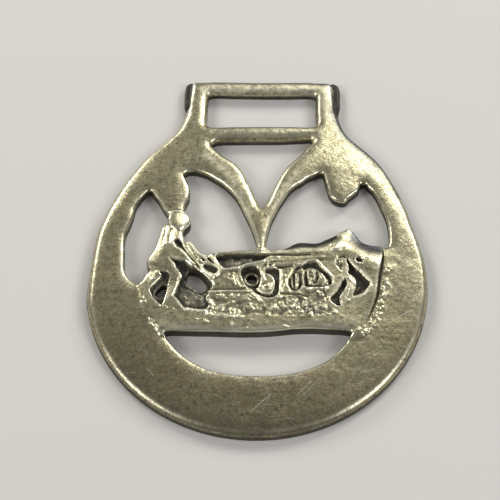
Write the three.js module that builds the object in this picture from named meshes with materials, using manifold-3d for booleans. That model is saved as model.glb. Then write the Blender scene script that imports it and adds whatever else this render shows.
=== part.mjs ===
// A cast horse brass: a pierced crescent plate with a strap hanger on top and, inside the opening,
// a ploughing scene in relief under two trees. It lies flat on its back, front face up.
// Millimetres, +Z up, +Y towards the hanger. The casting is one piece.

import * as THREE from "three";
import { mergeVertices } from "three/addons/utils/BufferGeometryUtils.js";
import Module from "manifold-3d";

// Driving dimensions

const ringRadius = 38; // outer edge of the crescent
const openingHalfWidth = 29.8; // the oval opening that holds the scene
const openingHalfHeight = 33.0;
const openingRise = 9.0; // how far the opening's centre lies above the ring's centre
const plateThickness = 3.0;
const plateRound = 1.2; // rounding of the plate's front edges

const slotWidth = 26.4; // the strap slot, for a strap 25 mm wide
const slotHeight = 10.1;
const slotBottom = 43.2; // its lower edge above the ring's centre
const slotChamfer = 0.9;
const slotCornerRadius = 0.6;
const postWidth = 4.5; // each side of the slot, at the front
const topBarHeight = 4.3;
const crossbarHeight = 4.5; // between the slot and the notched window
const lugWidth = 1.45; // how far the back of the top bar stands out past the posts
const lugHeight = 7.9;
const lugThickness = 1.9;
const lugRound = 0.5;

const sceneInset = 2.8; // the opening's edge to the scene's side, at the widest
const sceneDrop = 9.24; // the scene's origin below the opening's centre
const fieldThickness = 3.7; // back of the plate to the ground that the ploughman walks on
const fieldRound = 0.55;
const figureRise = 0.7; // the figures' tops above the ground
const figureRound = 0.45;
const recessFloor = 1.7; // back of the plate to the floor of the dark hollows
const creaseDepth = 1.5; // depth of the seam between the scene and the ring
const creaseWidth = 0.7;
const shoulderStart = THREE.MathUtils.degToRad(10); // where the round edge turns into the shoulder
const waistOut = 4.5; // where the shoulder leans over, out from the post and below the slot
const waistDrop = 3.5;
const footOut = 1.1; // where the shoulder turns into the post, out from it and above the slot's lower edge
const footRise = 4.8;
const shoulderFullness = 0.345; // length of the shoulder curve's handles over the distance between its ends
const topCorner = 1.9; // radius of the hanger's top corners
const deep = 2; // how far a cutting tool runs past what it cuts

// Derived places

const slotTop = slotBottom + slotHeight;
const hangerTop = slotTop + topBarHeight;
const postOutside = slotWidth / 2 + postWidth;
const lugOutside = postOutside + lugWidth;
const windowTop = slotBottom - crossbarHeight;
const figureTop = fieldThickness + figureRise;

// The carving is drawn in scene units, which are millimetres for a scene 54 mm wide.
const drawnWidth = 54;
const unit = (2 * (openingHalfWidth - sceneInset)) / drawnWidth;
const sceneTallness = 1.03;
const at = (x, y) => new THREE.Vector2(x * unit, openingRise - sceneDrop + y * unit * sceneTallness);

// Helpers

const wasm = await Module();
wasm.setup();

const degrees = THREE.MathUtils.degToRad;
const polar = (centre, radius, angle) =>
  new THREE.Vector2(centre.x + radius * Math.cos(angle), centre.y + radius * Math.sin(angle));

// Points of an arc from one angle to another, a chord of about 1.3 mm apart.
function arc(centre, radius, from, to) {
  const chord = 1.3;
  const steps = Math.max(8, Math.round((Math.abs(to - from) * radius) / chord));
  return Array.from({ length: steps + 1 }, (_, i) => polar(centre, radius, from + ((to - from) * i) / steps));
}

const circle = (centre, radius, sides) =>
  Array.from({ length: sides }, (_, i) => polar(centre, radius, (2 * Math.PI * i) / sides));

// Points of a cubic curve between two ends with two handles.
const bend = (start, handle, nextHandle, end, steps = 10) =>
  new THREE.CubicBezierCurve(start, handle, nextHandle, end).getPoints(steps);

// A closed smooth outline through a few scene points.
function blob(knots, perSpan = 4) {
  const line = new THREE.CatmullRomCurve3(
    knots.map(([x, y]) => new THREE.Vector3(at(x, y).x, at(x, y).y, 0)),
    true,
    "centripetal",
  );
  return line
    .getPoints(knots.length * perSpan)
    .slice(0, -1)
    .map((p) => new THREE.Vector2(p.x, p.y));
}

// The outline of a limb: a bar with round ends, as wide as each end says.
function limb([x0, y0, width0], [x1, y1, width1], sides = 7) {
  const start = at(x0, y0);
  const end = at(x1, y1);
  const heading = Math.atan2(end.y - start.y, end.x - start.x);
  const half = Math.PI / 2;
  const cap = (centre, radius, from) =>
    Array.from({ length: sides }, (_, i) => polar(centre, radius, from + (Math.PI * i) / (sides - 1)));
  return [
    ...cap(end, (width1 * unit) / 2, heading - half),
    ...cap(start, (width0 * unit) / 2, heading + half),
  ];
}

function withoutRepeats(points) {
  const close = 1e-3;
  return points.filter((p, i) => p.distanceTo(points[(i + 1) % points.length]) > close);
}

function solidOf(geometry) {
  const bare = geometry.index ? geometry.toNonIndexed() : geometry;
  bare.deleteAttribute("normal");
  bare.deleteAttribute("uv");
  const merged = mergeVertices(bare, 1e-4);
  return new wasm.Manifold(
    new wasm.Mesh({
      numProp: 3,
      vertProperties: merged.attributes.position.array,
      triVerts: new Uint32Array(merged.index.array),
    }),
  );
}

// A flat piece with this outline, from below the back up to top, its front edge rounded.
function slab(points, top, round, segments = 2) {
  const depth = top - round + deep;
  const geometry = new THREE.ExtrudeGeometry(new THREE.Shape(withoutRepeats(points)), {
    depth,
    bevelEnabled: true,
    bevelThickness: round,
    bevelSize: round,
    bevelOffset: -round,
    bevelSegments: segments,
  });
  return solidOf(geometry.translate(0, 0, -deep));
}

// A cutting tool with this outline, from floor upwards, widening by chamfer at the height rim.
function cutter(points, floor, rim, chamfer) {
  const outline = withoutRepeats(points);
  const straight = new THREE.ExtrudeGeometry(new THREE.Shape(outline), {
    depth: rim + deep - floor,
    bevelEnabled: false,
  });
  const tool = solidOf(straight.translate(0, 0, floor));
  if (!chamfer) return tool;
  const flare = new THREE.ExtrudeGeometry(new THREE.Shape(outline), {
    depth: deep,
    bevelEnabled: true,
    bevelThickness: chamfer,
    bevelSize: chamfer,
    bevelSegments: 1,
  });
  return tool.add(solidOf(flare.translate(0, 0, rim)));
}

// The thinner end of a limb limits its rounding.
function raised([from, to]) {
  const width = Math.min(from[2], to[2]) * unit;
  return slab(limb(from, to), figureTop, Math.min(figureRound, 0.35 * width));
}

const joined = (solids) => solids.reduce((whole, solid) => whole.add(solid));
const box = (low, high) => [
  new THREE.Vector2(low.x, low.y),
  new THREE.Vector2(high.x, low.y),
  new THREE.Vector2(high.x, high.y),
  new THREE.Vector2(low.x, high.y),
];

function roundedBox(low, high, radius) {
  const corner = (x, y, from) =>
    Array.from({ length: 5 }, (_, i) =>
      polar(new THREE.Vector2(x, y), radius, degrees(from + (90 * i) / 4)),
    );
  return [
    ...corner(high.x - radius, high.y - radius, 0),
    ...corner(low.x + radius, high.y - radius, 90),
    ...corner(low.x + radius, low.y + radius, 180),
    ...corner(high.x - radius, low.y + radius, 270),
  ];
}

const mirrored = (points) => points.map((p) => new THREE.Vector2(-p.x, p.y)).reverse();

// The plate: crescent, shoulders and hanger

// The right-hand edge from the ring up over the shoulder to the post's top.
function shoulder() {
  const start = polar(new THREE.Vector2(), ringRadius, shoulderStart);
  const waist = new THREE.Vector2(postOutside + waistOut, slotBottom - waistDrop);
  const foot = new THREE.Vector2(postOutside + footOut, slotBottom + footRise);
  const top = new THREE.Vector2(postOutside, hangerTop - topCorner);
  const rising = new THREE.Vector2(-Math.sin(shoulderStart), Math.cos(shoulderStart));
  const leaning = new THREE.Vector2(-0.7, 0.71);
  const reach = start.distanceTo(waist) * shoulderFullness;
  return [
    ...bend(
      start,
      start.clone().addScaledVector(rising, reach),
      waist.clone().addScaledVector(leaning, -reach),
      waist,
      18,
    ),
    ...bend(
      waist,
      waist.clone().addScaledVector(leaning, 2.1),
      new THREE.Vector2(foot.x + 0.5, foot.y - 3.5),
      foot,
      7,
    ),
    ...bend(foot, new THREE.Vector2(foot.x - 0.3, foot.y + 2), new THREE.Vector2(top.x, top.y - 2), top, 4),
    ...arc(new THREE.Vector2(top.x - topCorner, top.y), topCorner, 0, degrees(90)),
  ];
}

function plate() {
  const right = shoulder();
  const bottom = arc(new THREE.Vector2(), ringRadius, Math.PI - shoulderStart, 2 * Math.PI + shoulderStart);
  return slab([...right, ...mirrored(right), ...bottom], plateThickness, plateRound, 3);
}

// The back of the top bar, which stands out past the posts as a lug on each side.
function topBarBack() {
  const low = new THREE.Vector2(-lugOutside, hangerTop - lugHeight);
  const high = new THREE.Vector2(lugOutside, hangerTop);
  return slab(roundedBox(low, high, topCorner), lugThickness, lugRound);
}

function strapSlot() {
  const low = new THREE.Vector2(-slotWidth / 2, slotBottom);
  const high = new THREE.Vector2(slotWidth / 2, slotTop);
  return cutter(roundedBox(low, high, slotCornerRadius), -deep, plateThickness, slotChamfer);
}

// The notched window under the crossbar, which narrows to a point between the two ribs.
function notchedWindow() {
  const notch = at(0.9, 19.4);
  const left = new THREE.Vector2(-slotWidth / 2 + 1.6, windowTop - 0.9);
  const right = new THREE.Vector2(slotWidth / 2 - 0.6, windowTop - 0.4);
  return cutter(
    [
      new THREE.Vector2(left.x + 0.9, windowTop - 0.1),
      left,
      ...bend(left, at(-5.6, 31.6), at(-2.9, 27.6), notch, 12),
      ...bend(notch, at(3.4, 26.0), at(5.0, 30.6), right, 12),
      new THREE.Vector2(right.x - 0.7, windowTop + 0.3),
    ].reverse(),
    -deep,
    plateThickness,
    0.6,
  );
}

// The opening, kept below the crown from which the trees and ribs hang.
function opening() {
  const crown = at(0, 30).y;
  const climb = Math.asin((crown - openingRise) / openingHalfHeight);
  const steps = 96;
  const turn = Math.PI + 2 * climb;
  const outline = Array.from({ length: steps + 1 }, (_, i) => {
    const angle = Math.PI - climb + (turn * i) / steps;
    const across = openingHalfWidth * Math.cos(angle);
    return new THREE.Vector2(across, openingRise + openingHalfHeight * Math.sin(angle));
  });
  return cutter(outline, -deep, plateThickness, 0.6);
}

// Inside the opening

// Two curved ribs that meet in a stem standing on the scene.
function ribs() {
  const round = 0.8;
  return slab(
    [
      ...bend(at(2.0, 6.2), at(2.2, 14.5), at(5.2, 24.4), at(15.2, 28.8), 14),
      at(16, 33),
      at(-22, 33),
      ...bend(at(-21.5, 28.6), at(-17.5, 30.0), at(-14.0, 29.2), at(-10.4, 26.8), 8),
      ...bend(at(-10.4, 26.8), at(-4.4, 22.4), at(-1.2, 14.0), at(-0.1, 6.2), 12),
    ],
    plateThickness,
    round,
  );
}

// The left tree narrows down to the ploughman's head.
const leftTree = () =>
  slab(
    blob([
      [-27.5, 25.4], [-24.6, 22.4], [-22.3, 18.8], [-20.8, 15.8], [-18.2, 16.2], [-17.0, 18.8],
      [-16.1, 22.4], [-17.2, 26.6], [-19, 31], [-25, 31],
    ], 4),
    plateThickness,
    0.6,
  );

// The right tree hangs free.
const rightTree = () =>
  joined([
    slab(circle(at(19.3, 24.8), 4.25 * unit, 30), plateThickness, 0.6),
    slab(blob([
      [15.0, 31], [15.2, 27.6], [17, 25.5], [22, 25.5], [24.0, 26.2], [27, 27.5], [26, 32],
    ], 3), plateThickness, 0.6),
  ]);

// The ground, with the horse's back and head along its top edge.
function field() {
  const edge = blob([
    [-22.0, -12.7], [-8, -12.7], [6, -12.1], [15, -11.6], [23.6, -11.8], [25.4, -8.9], [27.3, -1.5],
    [28.4, 4.9], [28.2, 8.5], [25, 7.0], [15, 7.4], [2, 7.3], [-9, 6.8], [-12, 4.9], [-17, 4.0],
    [-23.6, 2.7], [-25.6, -0.3], [-26.7, -2.7], [-25.6, -7.1], [-23.7, -10.9],
  ], 3);
  const horseBack = blob([[5.2, 6.7], [8.2, 8.7], [11.5, 9.2], [15.5, 10.1], [18, 7.5], [10, 5]], 4);
  const horseHead = blob([
    [13.5, 8.9], [17.6, 11.4], [20.3, 13.2], [21.2, 12.9], [22.7, 10.5], [25.2, 9.3], [27.9, 8.8],
    [26.5, 5], [16, 5],
  ], 4);
  return [edge, horseBack, horseHead].map((outline) => slab(outline, fieldThickness, fieldRound));
}

// The thin floor beside the scene, level with the plate, that ties it to the ring.
const web = () =>
  [
    [
      [-31, 1.6], [-29.4, 0.3], [-28.2, -1.0], [-26.5, -1.7], [-24, -2.5], [-24, -12], [-19.3, -12.6],
      [-19.0, -14.0], [-20.4, -16.5], [-31, -8],
    ],
    [[29.6, 9.4], [28.2, 8.4], [26, 0], [22.0, -11.6], [21.2, -12.4], [20.6, -14.4], [26, -14], [31, 0]],
  ].map((knots) => slab(blob(knots, 3), plateThickness, 0.3));

// The seam between the scene and the ring, on either side.
function seams() {
  const tracks = [
    [[29.2, 8.2], [28.6, 3.6], [27.6, -2], [26.2, -7], [24.6, -11.2], [24.1, -12.9]],
    [[-27.0, -4.4], [-26.0, -7.4], [-24.4, -10.4], [-22.9, -13]],
  ];
  return tracks.flatMap((track) =>
    track.slice(1).map((knot, i) => {
      const outline = limb([...track[i], creaseWidth], [...knot, creaseWidth], 3);
      return cutter(outline, fieldThickness - creaseDepth, fieldThickness, 0);
    }),
  );
}

// The ploughman leans forward on the handles and strides to the right.
function ploughman() {
  const limbs = [
    [[-18.4, 9.6, 2.4], [-15.0, 5.0, 1.6]],
    [[-19.3, 3.2, 3.0], [-18.5, -0.8, 2.2]],
    [[-18.5, -0.8, 2.2], [-19.2, -5.0, 1.9]],
    [[-19.2, -5.0, 1.9], [-16.4, -8.6, 1.7]],
    [[-23.2, 2.4, 2.8], [-24.6, -4.2, 2.2]],
    [[-24.6, -4.2, 2.2], [-21.8, -8.6, 2.2]],
  ];
  const body = blob([
    [-20.0, 12.6], [-17.5, 11.9], [-17.0, 9.6], [-18.6, 6.4], [-18.2, 3.4], [-20.4, 1.9], [-23.4, 1.2],
    [-24.5, 3.2], [-23.3, 6.6], [-22.0, 10.2],
  ], 3);
  return [slab(body, figureTop, figureRound), ...limbs.map(raised)];
}

// The head is a low dome.
function head() {
  const centre = at(-18.1, 14.6);
  const radius = 2.5 * unit;
  const crown = figureTop + 0.2;
  const brow = 1.1;
  const side = new THREE.LatheGeometry(
    [
      new THREE.Vector2(0, -deep),
      new THREE.Vector2(radius, -deep),
      new THREE.Vector2(radius, crown - brow),
      new THREE.Vector2(radius * 0.86, crown - brow * 0.42),
      new THREE.Vector2(radius * 0.5, crown - brow * 0.1),
      new THREE.Vector2(0, crown),
    ],
    24,
  );
  const upright = side.rotateX(Math.PI / 2);
  return solidOf(upright.translate(centre.x, centre.y, 0));
}

// The plough: two handles, the beam, the mould board and the rein above.
function plough() {
  const parts = [
    [[-15.3, 7.4, 1.5], [-8.9, 2.2, 1.3]],
    [[-14.0, 3.6, 1.1], [-9.9, -0.2, 1.1]],
    [[-8.6, 1.4, 1.1], [-0.6, 3.2, 0.9]],
    [[-0.6, 3.2, 0.9], [15.5, 5.8, 1.5]],
    [[-10.2, 5.7, 0.9], [15.0, 6.9, 1.0]],
    [[-9.6, -4.2, 1.0], [-1.6, -3.8, 1.0]],
  ];
  return parts.map(raised);
}

// The wheels under the beam and the horse's neck, head and legs.
function wheelsAndHorse() {
  const wheelTop = figureTop - 0.2;
  const wheel = (x, y, radius) => slab(circle(at(x, y), radius * unit, 18), wheelTop, figureRound);
  const rim = slab(circle(at(12.4, -0.4), 3.3 * unit, 24), wheelTop - 0.2, 0.25)
    .subtract(cutter(circle(at(12.4, -0.4), 2.6 * unit, 24), -deep, figureTop, 0));
  const neckAndHead = blob([
    [14.6, 6.4], [17.2, 9.0], [20.2, 11.2], [21.6, 10.4], [23.4, 8.2], [26.6, 7.2], [26.4, 3.2], [25.2, 0.9],
    [23.4, 3.4], [21.6, 4.6], [20.4, 1.8], [17.6, 1.0], [15.8, 3.2],
  ], 3);
  const legs = [
    [[19.4, 1.4, 2.2], [17.4, -2.8, 1.4]],
    [[20.7, 0, 1.4], [20.6, -4.2, 1.8]],
  ].map(raised);
  const body = slab(neckAndHead, fieldThickness + figureRise / 2, figureRound / 2);
  return [wheel(12.4, -0.4, 1.7), rim, wheel(2.3, -2.6, 1.1), wheel(19.0, 3.7, 1.3), body, ...legs];
}

// The furrowed earth stands a little above the ground.
const furrows = () =>
  [
    [
      [-14.6, -8.4], [-9.6, -9.4], [-3, -9.8], [4, -10.0], [12, -9.2], [17, -8.2], [18.2, -6.2], [12, -4.6],
      [2, -4.6], [-6, -5.4], [-10.2, -7.0],
    ],
    [[-5.2, -12.6], [-1.2, -12.4], [-0.9, -10.4], [-4.9, -10.5]],
  ].map((knots) => slab(blob(knots, 3), fieldThickness + 0.3, 0.25));

// Hollows that do not go through, down to the recess floor.
function hollows() {
  const outlines = [
    blob([
      [-21.9, 1.1], [-20.2, 1.2], [-19.9, -1.9], [-20.5, -4.3], [-20.8, -6.8], [-22.4, -5.9], [-23.6, -3.3],
      [-22.4, -1.3],
    ], 3),
    blob([
      [-19.0, 4.1], [-16.0, 3.5], [-13.2, 1.7], [-10.4, -0.9], [-10.6, -3.5], [-11.0, -5.7], [-11.4, -7.7],
      [-15.6, -7.7], [-17.8, -5.1], [-17.3, -2.5], [-17.2, 0.7], [-17.8, 2.7],
    ], 3),
    blob([[-8.8, 5.4], [0, 5.8], [10, 6], [2, 4.7], [-3, 3.4], [-7.4, 2.5]], 3),
    roundedBox(at(-3.6, -2.1), at(0.8, 2.5), 1.4),
    blob([
      [9.6, 2.5], [11.4, 3.7], [13.2, 3.7], [15.2, 1.7], [16.6, -0.3], [15.4, -2.3], [12.6, -2.9],
      [9.8, -2.1], [8.6, -3.7], [7.2, -2.5], [7.6, 0.3],
    ], 3),
    blob([[5.2, 1.7], [5.0, -4.1], [2.6, -4.5], [0.6, -3.3], [1.6, 0.1], [2.6, 1.7]], 3),
    blob([
      [19.7, -0.5], [18.0, -3.1], [16.6, -4.9], [16.9, -6.2], [18.6, -6.5], [18.7, -4.7], [19.5, -2.5],
    ], 3),
    blob([
      [20.6, 4.7], [22.3, 2.5], [23.9, 0.5], [24.8, -0.8], [24.2, -2.6], [21.8, -3.9], [22.6, -1.5],
      [21.2, 0.5], [20.4, 2.5],
    ], 3),
    blob([[22.0, 5.1], [23.3, 5.7], [23.4, 4.3], [22.4, 4]], 3),
  ];
  return outlines.map((outline) => cutter(outline, recessFloor, fieldThickness, 0));
}

// The three places where the casting is pierced inside the scene.
const piercings = () =>
  [
    blob([[-20.6, -1.2], [-20.3, -2.4], [-21.2, -4.1], [-22.4, -3.4], [-22.2, -2.1]], 3),
    blob([[-15.2, 2], [-13.4, 1.4], [-11.4, -0.4], [-12.2, -2.1], [-15.2, -1.4], [-16.2, -0.2]], 3),
    circle(at(-1.1, 0.5), 1.15 * unit, 16),
  ].map((outline) => cutter(outline, -deep, figureTop, 0));

// The casting

function casting() {
  const frame = plate().subtract(opening());
  const carved = joined([frame, ribs(), leftTree(), rightTree(), ...web(), ...field()])
    .subtract(joined(seams()))
    .subtract(joined(hollows()));
  const figures = joined([...ploughman(), head(), ...plough(), ...wheelsAndHorse(), ...furrows()]);
  const front = carved
    .add(figures)
    .subtract(joined(piercings()))
    .subtract(notchedWindow())
    .add(topBarBack())
    .subtract(strapSlot());
  const reach = 3 * ringRadius;
  const backHalf = cutter(
    box(new THREE.Vector2(-reach, -reach), new THREE.Vector2(reach, reach)),
    -3 * deep,
    -deep,
    0,
  );
  return front.subtract(backHalf);
}

function geometryOf(solid) {
  const { vertProperties, triVerts } = solid.getMesh();
  return new THREE.BufferGeometry()
    .setAttribute("position", new THREE.BufferAttribute(vertProperties, 3))
    .setIndex(new THREE.BufferAttribute(triVerts, 1));
}

const brass = new THREE.MeshStandardMaterial({ color: 0x9a9478, roughness: 0.42, metalness: 1 });
const piece = new THREE.Mesh(geometryOf(casting()), brass);
piece.name = "pierced_brass";

// The origin is below the middle of the outline, on the surface that the back lies on.
const part = new THREE.Group();
part.add(piece);
part.position.y = (ringRadius - hangerTop) / 2;

export default part;
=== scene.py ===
import math
import bpy
import numpy as np
from mathutils import Matrix, Vector
from mathutils.geometry import delaunay_2d_cdt


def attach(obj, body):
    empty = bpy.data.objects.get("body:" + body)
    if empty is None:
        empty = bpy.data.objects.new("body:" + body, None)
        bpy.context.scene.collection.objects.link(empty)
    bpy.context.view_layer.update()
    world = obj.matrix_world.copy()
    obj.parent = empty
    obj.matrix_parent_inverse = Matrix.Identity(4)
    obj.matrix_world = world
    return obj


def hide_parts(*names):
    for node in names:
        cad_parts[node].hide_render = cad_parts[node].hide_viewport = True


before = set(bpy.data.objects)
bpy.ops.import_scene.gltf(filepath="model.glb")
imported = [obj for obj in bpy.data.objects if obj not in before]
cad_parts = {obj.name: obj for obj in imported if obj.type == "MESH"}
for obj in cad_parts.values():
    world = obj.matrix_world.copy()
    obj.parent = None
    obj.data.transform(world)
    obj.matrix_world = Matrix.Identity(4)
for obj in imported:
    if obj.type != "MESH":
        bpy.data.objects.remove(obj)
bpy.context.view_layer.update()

mm = 0.001

# The camera has the view that the brass has in the picture, turned about the crescent's own centre.
cameraView = dict(
    pitch=-32.68, yaw=-1.88, roll=-1.725,  # degrees
    aside=1.44, below=-6.04, distance=266.3,  # millimetres from the centre of the crescent
    centre=(0.0, -9.8, 3.0),
    lens=86.4, sensor=36.0, clipStart=0.01,
)


# The camera's turn is yaw, then pitch, then roll. Its place is the centre less the turned-back way to it.
def makeCamera(c):
    turn = (Matrix.Rotation(math.radians(c["roll"]), 3, "Z")
            @ Matrix.Rotation(math.radians(c["pitch"]), 3, "X")
            @ Matrix.Rotation(math.radians(c["yaw"]), 3, "Y"))
    back = turn.transposed()
    place = Vector(c["centre"]) - back @ Vector((c["aside"], c["below"], -c["distance"]))
    data = bpy.data.cameras.new("photoCamera")
    data.lens = c["lens"]
    data.sensor_width = c["sensor"]
    data.clip_start = c["clipStart"]
    camera = bpy.data.objects.new("photoCamera", data)
    camera.matrix_world = Matrix.Translation(place * mm) @ back.to_4x4()
    bpy.context.scene.collection.objects.link(camera)
    bpy.context.scene.camera = camera


makeCamera(cameraView)
print("camera placed")

# The small round hole by the share, and the ring of metal that stands round it, in millimetres.
smallHole = dict(
    centre=(-1.1, -9.9), halfWidth=1.15, halfHeight=1.1, corner=30,
    ringCentre=(-1.1, -10.1), ringRadius=1.65, ringTop=2.42, ringFall=1.2, ringEnd=2.4,
)
holeTurn = np.radians(np.arange(0, 360, smallHole["corner"]))

# Outlines of the casting, in millimetres from the middle of the back, run through smooth curves.
outlineMm = dict(
    crescentCentre=(0.0, -9.8), crescentRadius=38.0, crescentFrom=189.0, crescentTo=369.0, crescentCorner=4.0,
    # up the right shoulder, round the lug, along the top bar and down the left
    shoulders=[(36.4, 1.4), (35.4, 5.1), (34.3, 9.7), (32.9, 13.8), (31.1, 18), (28.7, 22.7), (26.2, 25.9),
        (23.2, 29), (21.6, 30.7), (20.4, 32.5), (19.5, 34.8), (18.9, 37.4), (19.1, 39.2), (19.35, 40.2),
        (19.4, 42.5), (19.4, 45.6), (19, 47), (17.8, 47.7), (15.5, 47.8), (8, 47.8), (0, 47.7), (-8, 47.75),
        (-15.2, 47.7), (-17.6, 47.55), (-18.7, 46.8), (-19, 45.4), (-19, 42.2), (-18.9, 40.1), (-18.6, 39),
        (-18.7, 36.9), (-19.4, 34.3), (-20.1, 32.6), (-20.9, 31.3), (-22.4, 29.5), (-24.2, 27.5),
        (-26.9, 24.5), (-30.3, 19.1), (-32.3, 15.4), (-34.4, 10.3), (-35.9, 5.5), (-36.9, 1)],
    slot=[(-12.9, 43.1), (-12.2, 43.45), (-6, 43.45), (0, 43.4), (6, 43.45), (12.6, 43.5), (13.25, 43),
        (13.35, 41), (13.35, 38), (13.3, 34.4), (12.7, 33.6), (6, 33.45), (0, 33.35), (-6, 33.2),
        (-12, 33.1), (-12.8, 33.5), (-13.05, 34.4), (-13.1, 38), (-13.1, 41.5)],
    notchedWindow=[(-11.6, 27.7), (-10.9, 28.5), (-10, 28.85), (-5, 29.1), (0, 29.2), (5, 29.3),
        (10.5, 29.7), (12, 29.75), (12.4, 29), (11, 27.2), (9.8, 25.35), (8.5, 23.85), (7.3, 22.6),
        (6, 20.9), (4.9, 18.85), (4, 16.85), (3.2, 14.75), (2.4, 12.4), (1.6, 10.55), (0.95, 9.75),
        (0.6, 9.75), (-0.3, 11.4), (-1.2, 13.7), (-2, 15.75), (-2.8, 17.5), (-3.6, 19.4), (-4.8, 21.3),
        (-6.2, 22.8), (-8.6, 24.5), (-10.2, 26.1)],
    leftWindow=[(-17.7, 18.7), (-16.9, 19.6), (-15.5, 19.8), (-14, 19.45), (-12, 18.55), (-10, 17.15),
        (-8.5, 16.05), (-7, 14.55), (-5.5, 12.65), (-4.2, 10.25), (-3, 7.45), (-2, 5.15), (-1, 2.35),
        (-0.35, 0.2), (-0.1, -1.6), (-0.5, -2.5), (-3, -2.8), (-6, -3.1), (-9, -3.35), (-10.4, -3.8),
        (-11.3, -4.3), (-12.2, -4.1), (-13.2, -3.1), (-13.9, -2.1), (-14.5, -1.1), (-15.1, -0.55),
        (-15.8, -0.6), (-16.3, -1), (-16.6, -0.2), (-16.9, 1), (-17, 2.2), (-16.4, 3.1), (-15.7, 4),
        (-15.45, 5.1), (-15.7, 6.2), (-16.5, 7.2), (-17, 8.2), (-17.05, 9.3), (-16.8, 10.45), (-16.2, 11.95),
        (-16.1, 13.55), (-16.3, 15.25), (-17, 16.85)],
    rearWindow=[(-25.6, 13.9), (-26.8, 12.55), (-27.8, 10.95), (-28.5, 9.05), (-28.8, 7.05), (-29.2, 5.15),
        (-29.7, 3.45), (-30.2, 1.85), (-30.3, -0.75), (-30.1, -2.75), (-29.95, -5.3), (-29.7, -7.9),
        (-29.1, -9.35), (-28.1, -10.6), (-26.9, -11.5), (-26.3, -11.7), (-25.6, -11), (-25.1, -10),
        (-24.8, -9), (-24.15, -8.2), (-24.5, -7.3), (-24.75, -6.3), (-24.45, -5), (-23.9, -3.9),
        (-23.4, -2.8), (-22.9, -1.2), (-22.6, 0.2), (-22.2, 2), (-21.8, 3.3), (-21.1, 4), (-20.75, 4.4),
        (-20.7, 5.3), (-20.6, 6.2), (-21.2, 7.5), (-22.4, 9.35), (-23.3, 11.1), (-24.3, 12.4),
        (-24.95, 13.5)],
    rightWindow=[(1.9, -1.6), (2, 0.75), (2.5, 3.35), (3, 5.45), (3.8, 7.45), (4.8, 9.85), (6, 12.15),
        (7.3, 14.45), (8.5, 15.75), (10, 16.75), (11.5, 18.05), (13, 18.85), (14.3, 19.5), (14.9, 19.3),
        (15.15, 18.6), (15.4, 17.35), (15.8, 15.55), (16.2, 13.85), (16.9, 12.45), (18, 11.55),
        (19.5, 11.15), (20.2, 11.4), (21, 12.45), (22.3, 13.65), (23.2, 14.65), (23.6, 16), (24.1, 16.6),
        (24.8, 16.55), (25.4, 15.7), (26.3, 14.65), (27, 13.45), (27.8, 11.55), (28.5, 9.45), (29.2, 7.45),
        (29.7, 5.05), (29.85, 2.75), (29.8, 0.75), (29.5, -0.8), (28.8, -1.4), (27.6, -0.9), (25.4, -0.5),
        (24, 0), (23, 1), (22, 2.5), (21.1, 3.6), (20.4, 3.75), (19.5, 3.2), (18.5, 2.5), (17.5, 1.6),
        (16, 0.7), (15, 0.2), (14.2, -0.3), (13, -0.6), (11, -0.5), (9.5, -0.5), (8.5, -0.8), (7.5, -1.4),
        (6, -2.2), (4.6, -2.6), (2.5, -2.5)],
    lowerWindow=[(-19.5, -23.8), (-18.4, -23.5), (-14, -23.5), (-10, -23.5), (-3, -23.6), (2, -23.4),
        (5, -23.1), (8, -22.7), (12, -22.5), (16, -22.6), (19.6, -22.8), (20.8, -23.2), (20.5, -24.3),
        (19.4, -25.95), (15.9, -29.7), (10.4, -32.5), (5, -33.65), (0, -33.95), (-5, -33.6), (-9.9, -32.45),
        (-14.8, -29.75), (-18.2, -26.3), (-19.5, -24.6)],
    rearHole=[(-20.8, -11.8), (-20, -12), (-19.85, -13.1), (-20.2, -14.1), (-20.9, -14.8), (-21.7, -14.7),
        (-22.4, -14.1), (-22.2, -13.2), (-21.5, -12.4)],
    middleHole=[(-15.3, -8.2), (-13.8, -8.1), (-12.8, -8.7), (-11.9, -9.7), (-11.2, -10.7), (-11, -11.7),
        (-11.6, -12.7), (-12.5, -13), (-13.3, -12.7), (-14, -12), (-15.3, -11.3), (-15.6, -10.1)],
    roundHole=np.c_[smallHole["centre"][0] + smallHole["halfWidth"] * np.cos(holeTurn),
                    smallHole["centre"][1] + smallHole["halfHeight"] * np.sin(holeTurn)],
)

edgeRound = dict(outside=1.5, slot=1.05, notchedWindow=1.35, leftWindow=0.65, rearWindow=0.6,
                 rightWindow=0.6, lowerWindow=0.5, rearHole=0.3, middleHole=0.3, roundHole=0.25)

# The length between two corners of an outline, and the shares of it for the holes and for the windows.
loopSteps = dict(outside=0.32, hole=0.6, window=0.9)


# A closed centripetal Catmull-Rom curve, cut into equal lengths:
# each span blends its two ends with the two next points, by the square root of their distances.
def smoothLoop(knots, step, cuts=24):
    p = np.array(knots, float)
    p0, p1, p2, p3 = np.roll(p, 1, 0), p, np.roll(p, -1, 0), np.roll(p, -2, 0)
    gap = lambda a, b: np.maximum(np.hypot(*(b - a).T), 1e-6)[:, None] ** 0.5
    t1 = gap(p0, p1)
    t2 = t1 + gap(p1, p2)
    t3 = t2 + gap(p2, p3)
    u = np.linspace(0, 1, cuts, endpoint=False)[None, :, None]
    t1, t2, t3 = t1[:, None], t2[:, None], t3[:, None]
    p0, p1, p2, p3 = p0[:, None], p1[:, None], p2[:, None], p3[:, None]
    t = t1 + (t2 - t1) * u
    a1 = (t1 - t) / t1 * p0 + t / t1 * p1
    a2 = (t2 - t) / (t2 - t1) * p1 + (t - t1) / (t2 - t1) * p2
    a3 = (t3 - t) / (t3 - t2) * p2 + (t - t2) / (t3 - t2) * p3
    b1 = (t2 - t) / t2 * a1 + t / t2 * a2
    b2 = (t3 - t) / (t3 - t1) * a2 + (t - t1) / (t3 - t1) * a3
    fine = ((t2 - t) / (t2 - t1) * b1 + (t - t1) / (t2 - t1) * b2).reshape(-1, 2)
    return evenLoop(fine, step)


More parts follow.
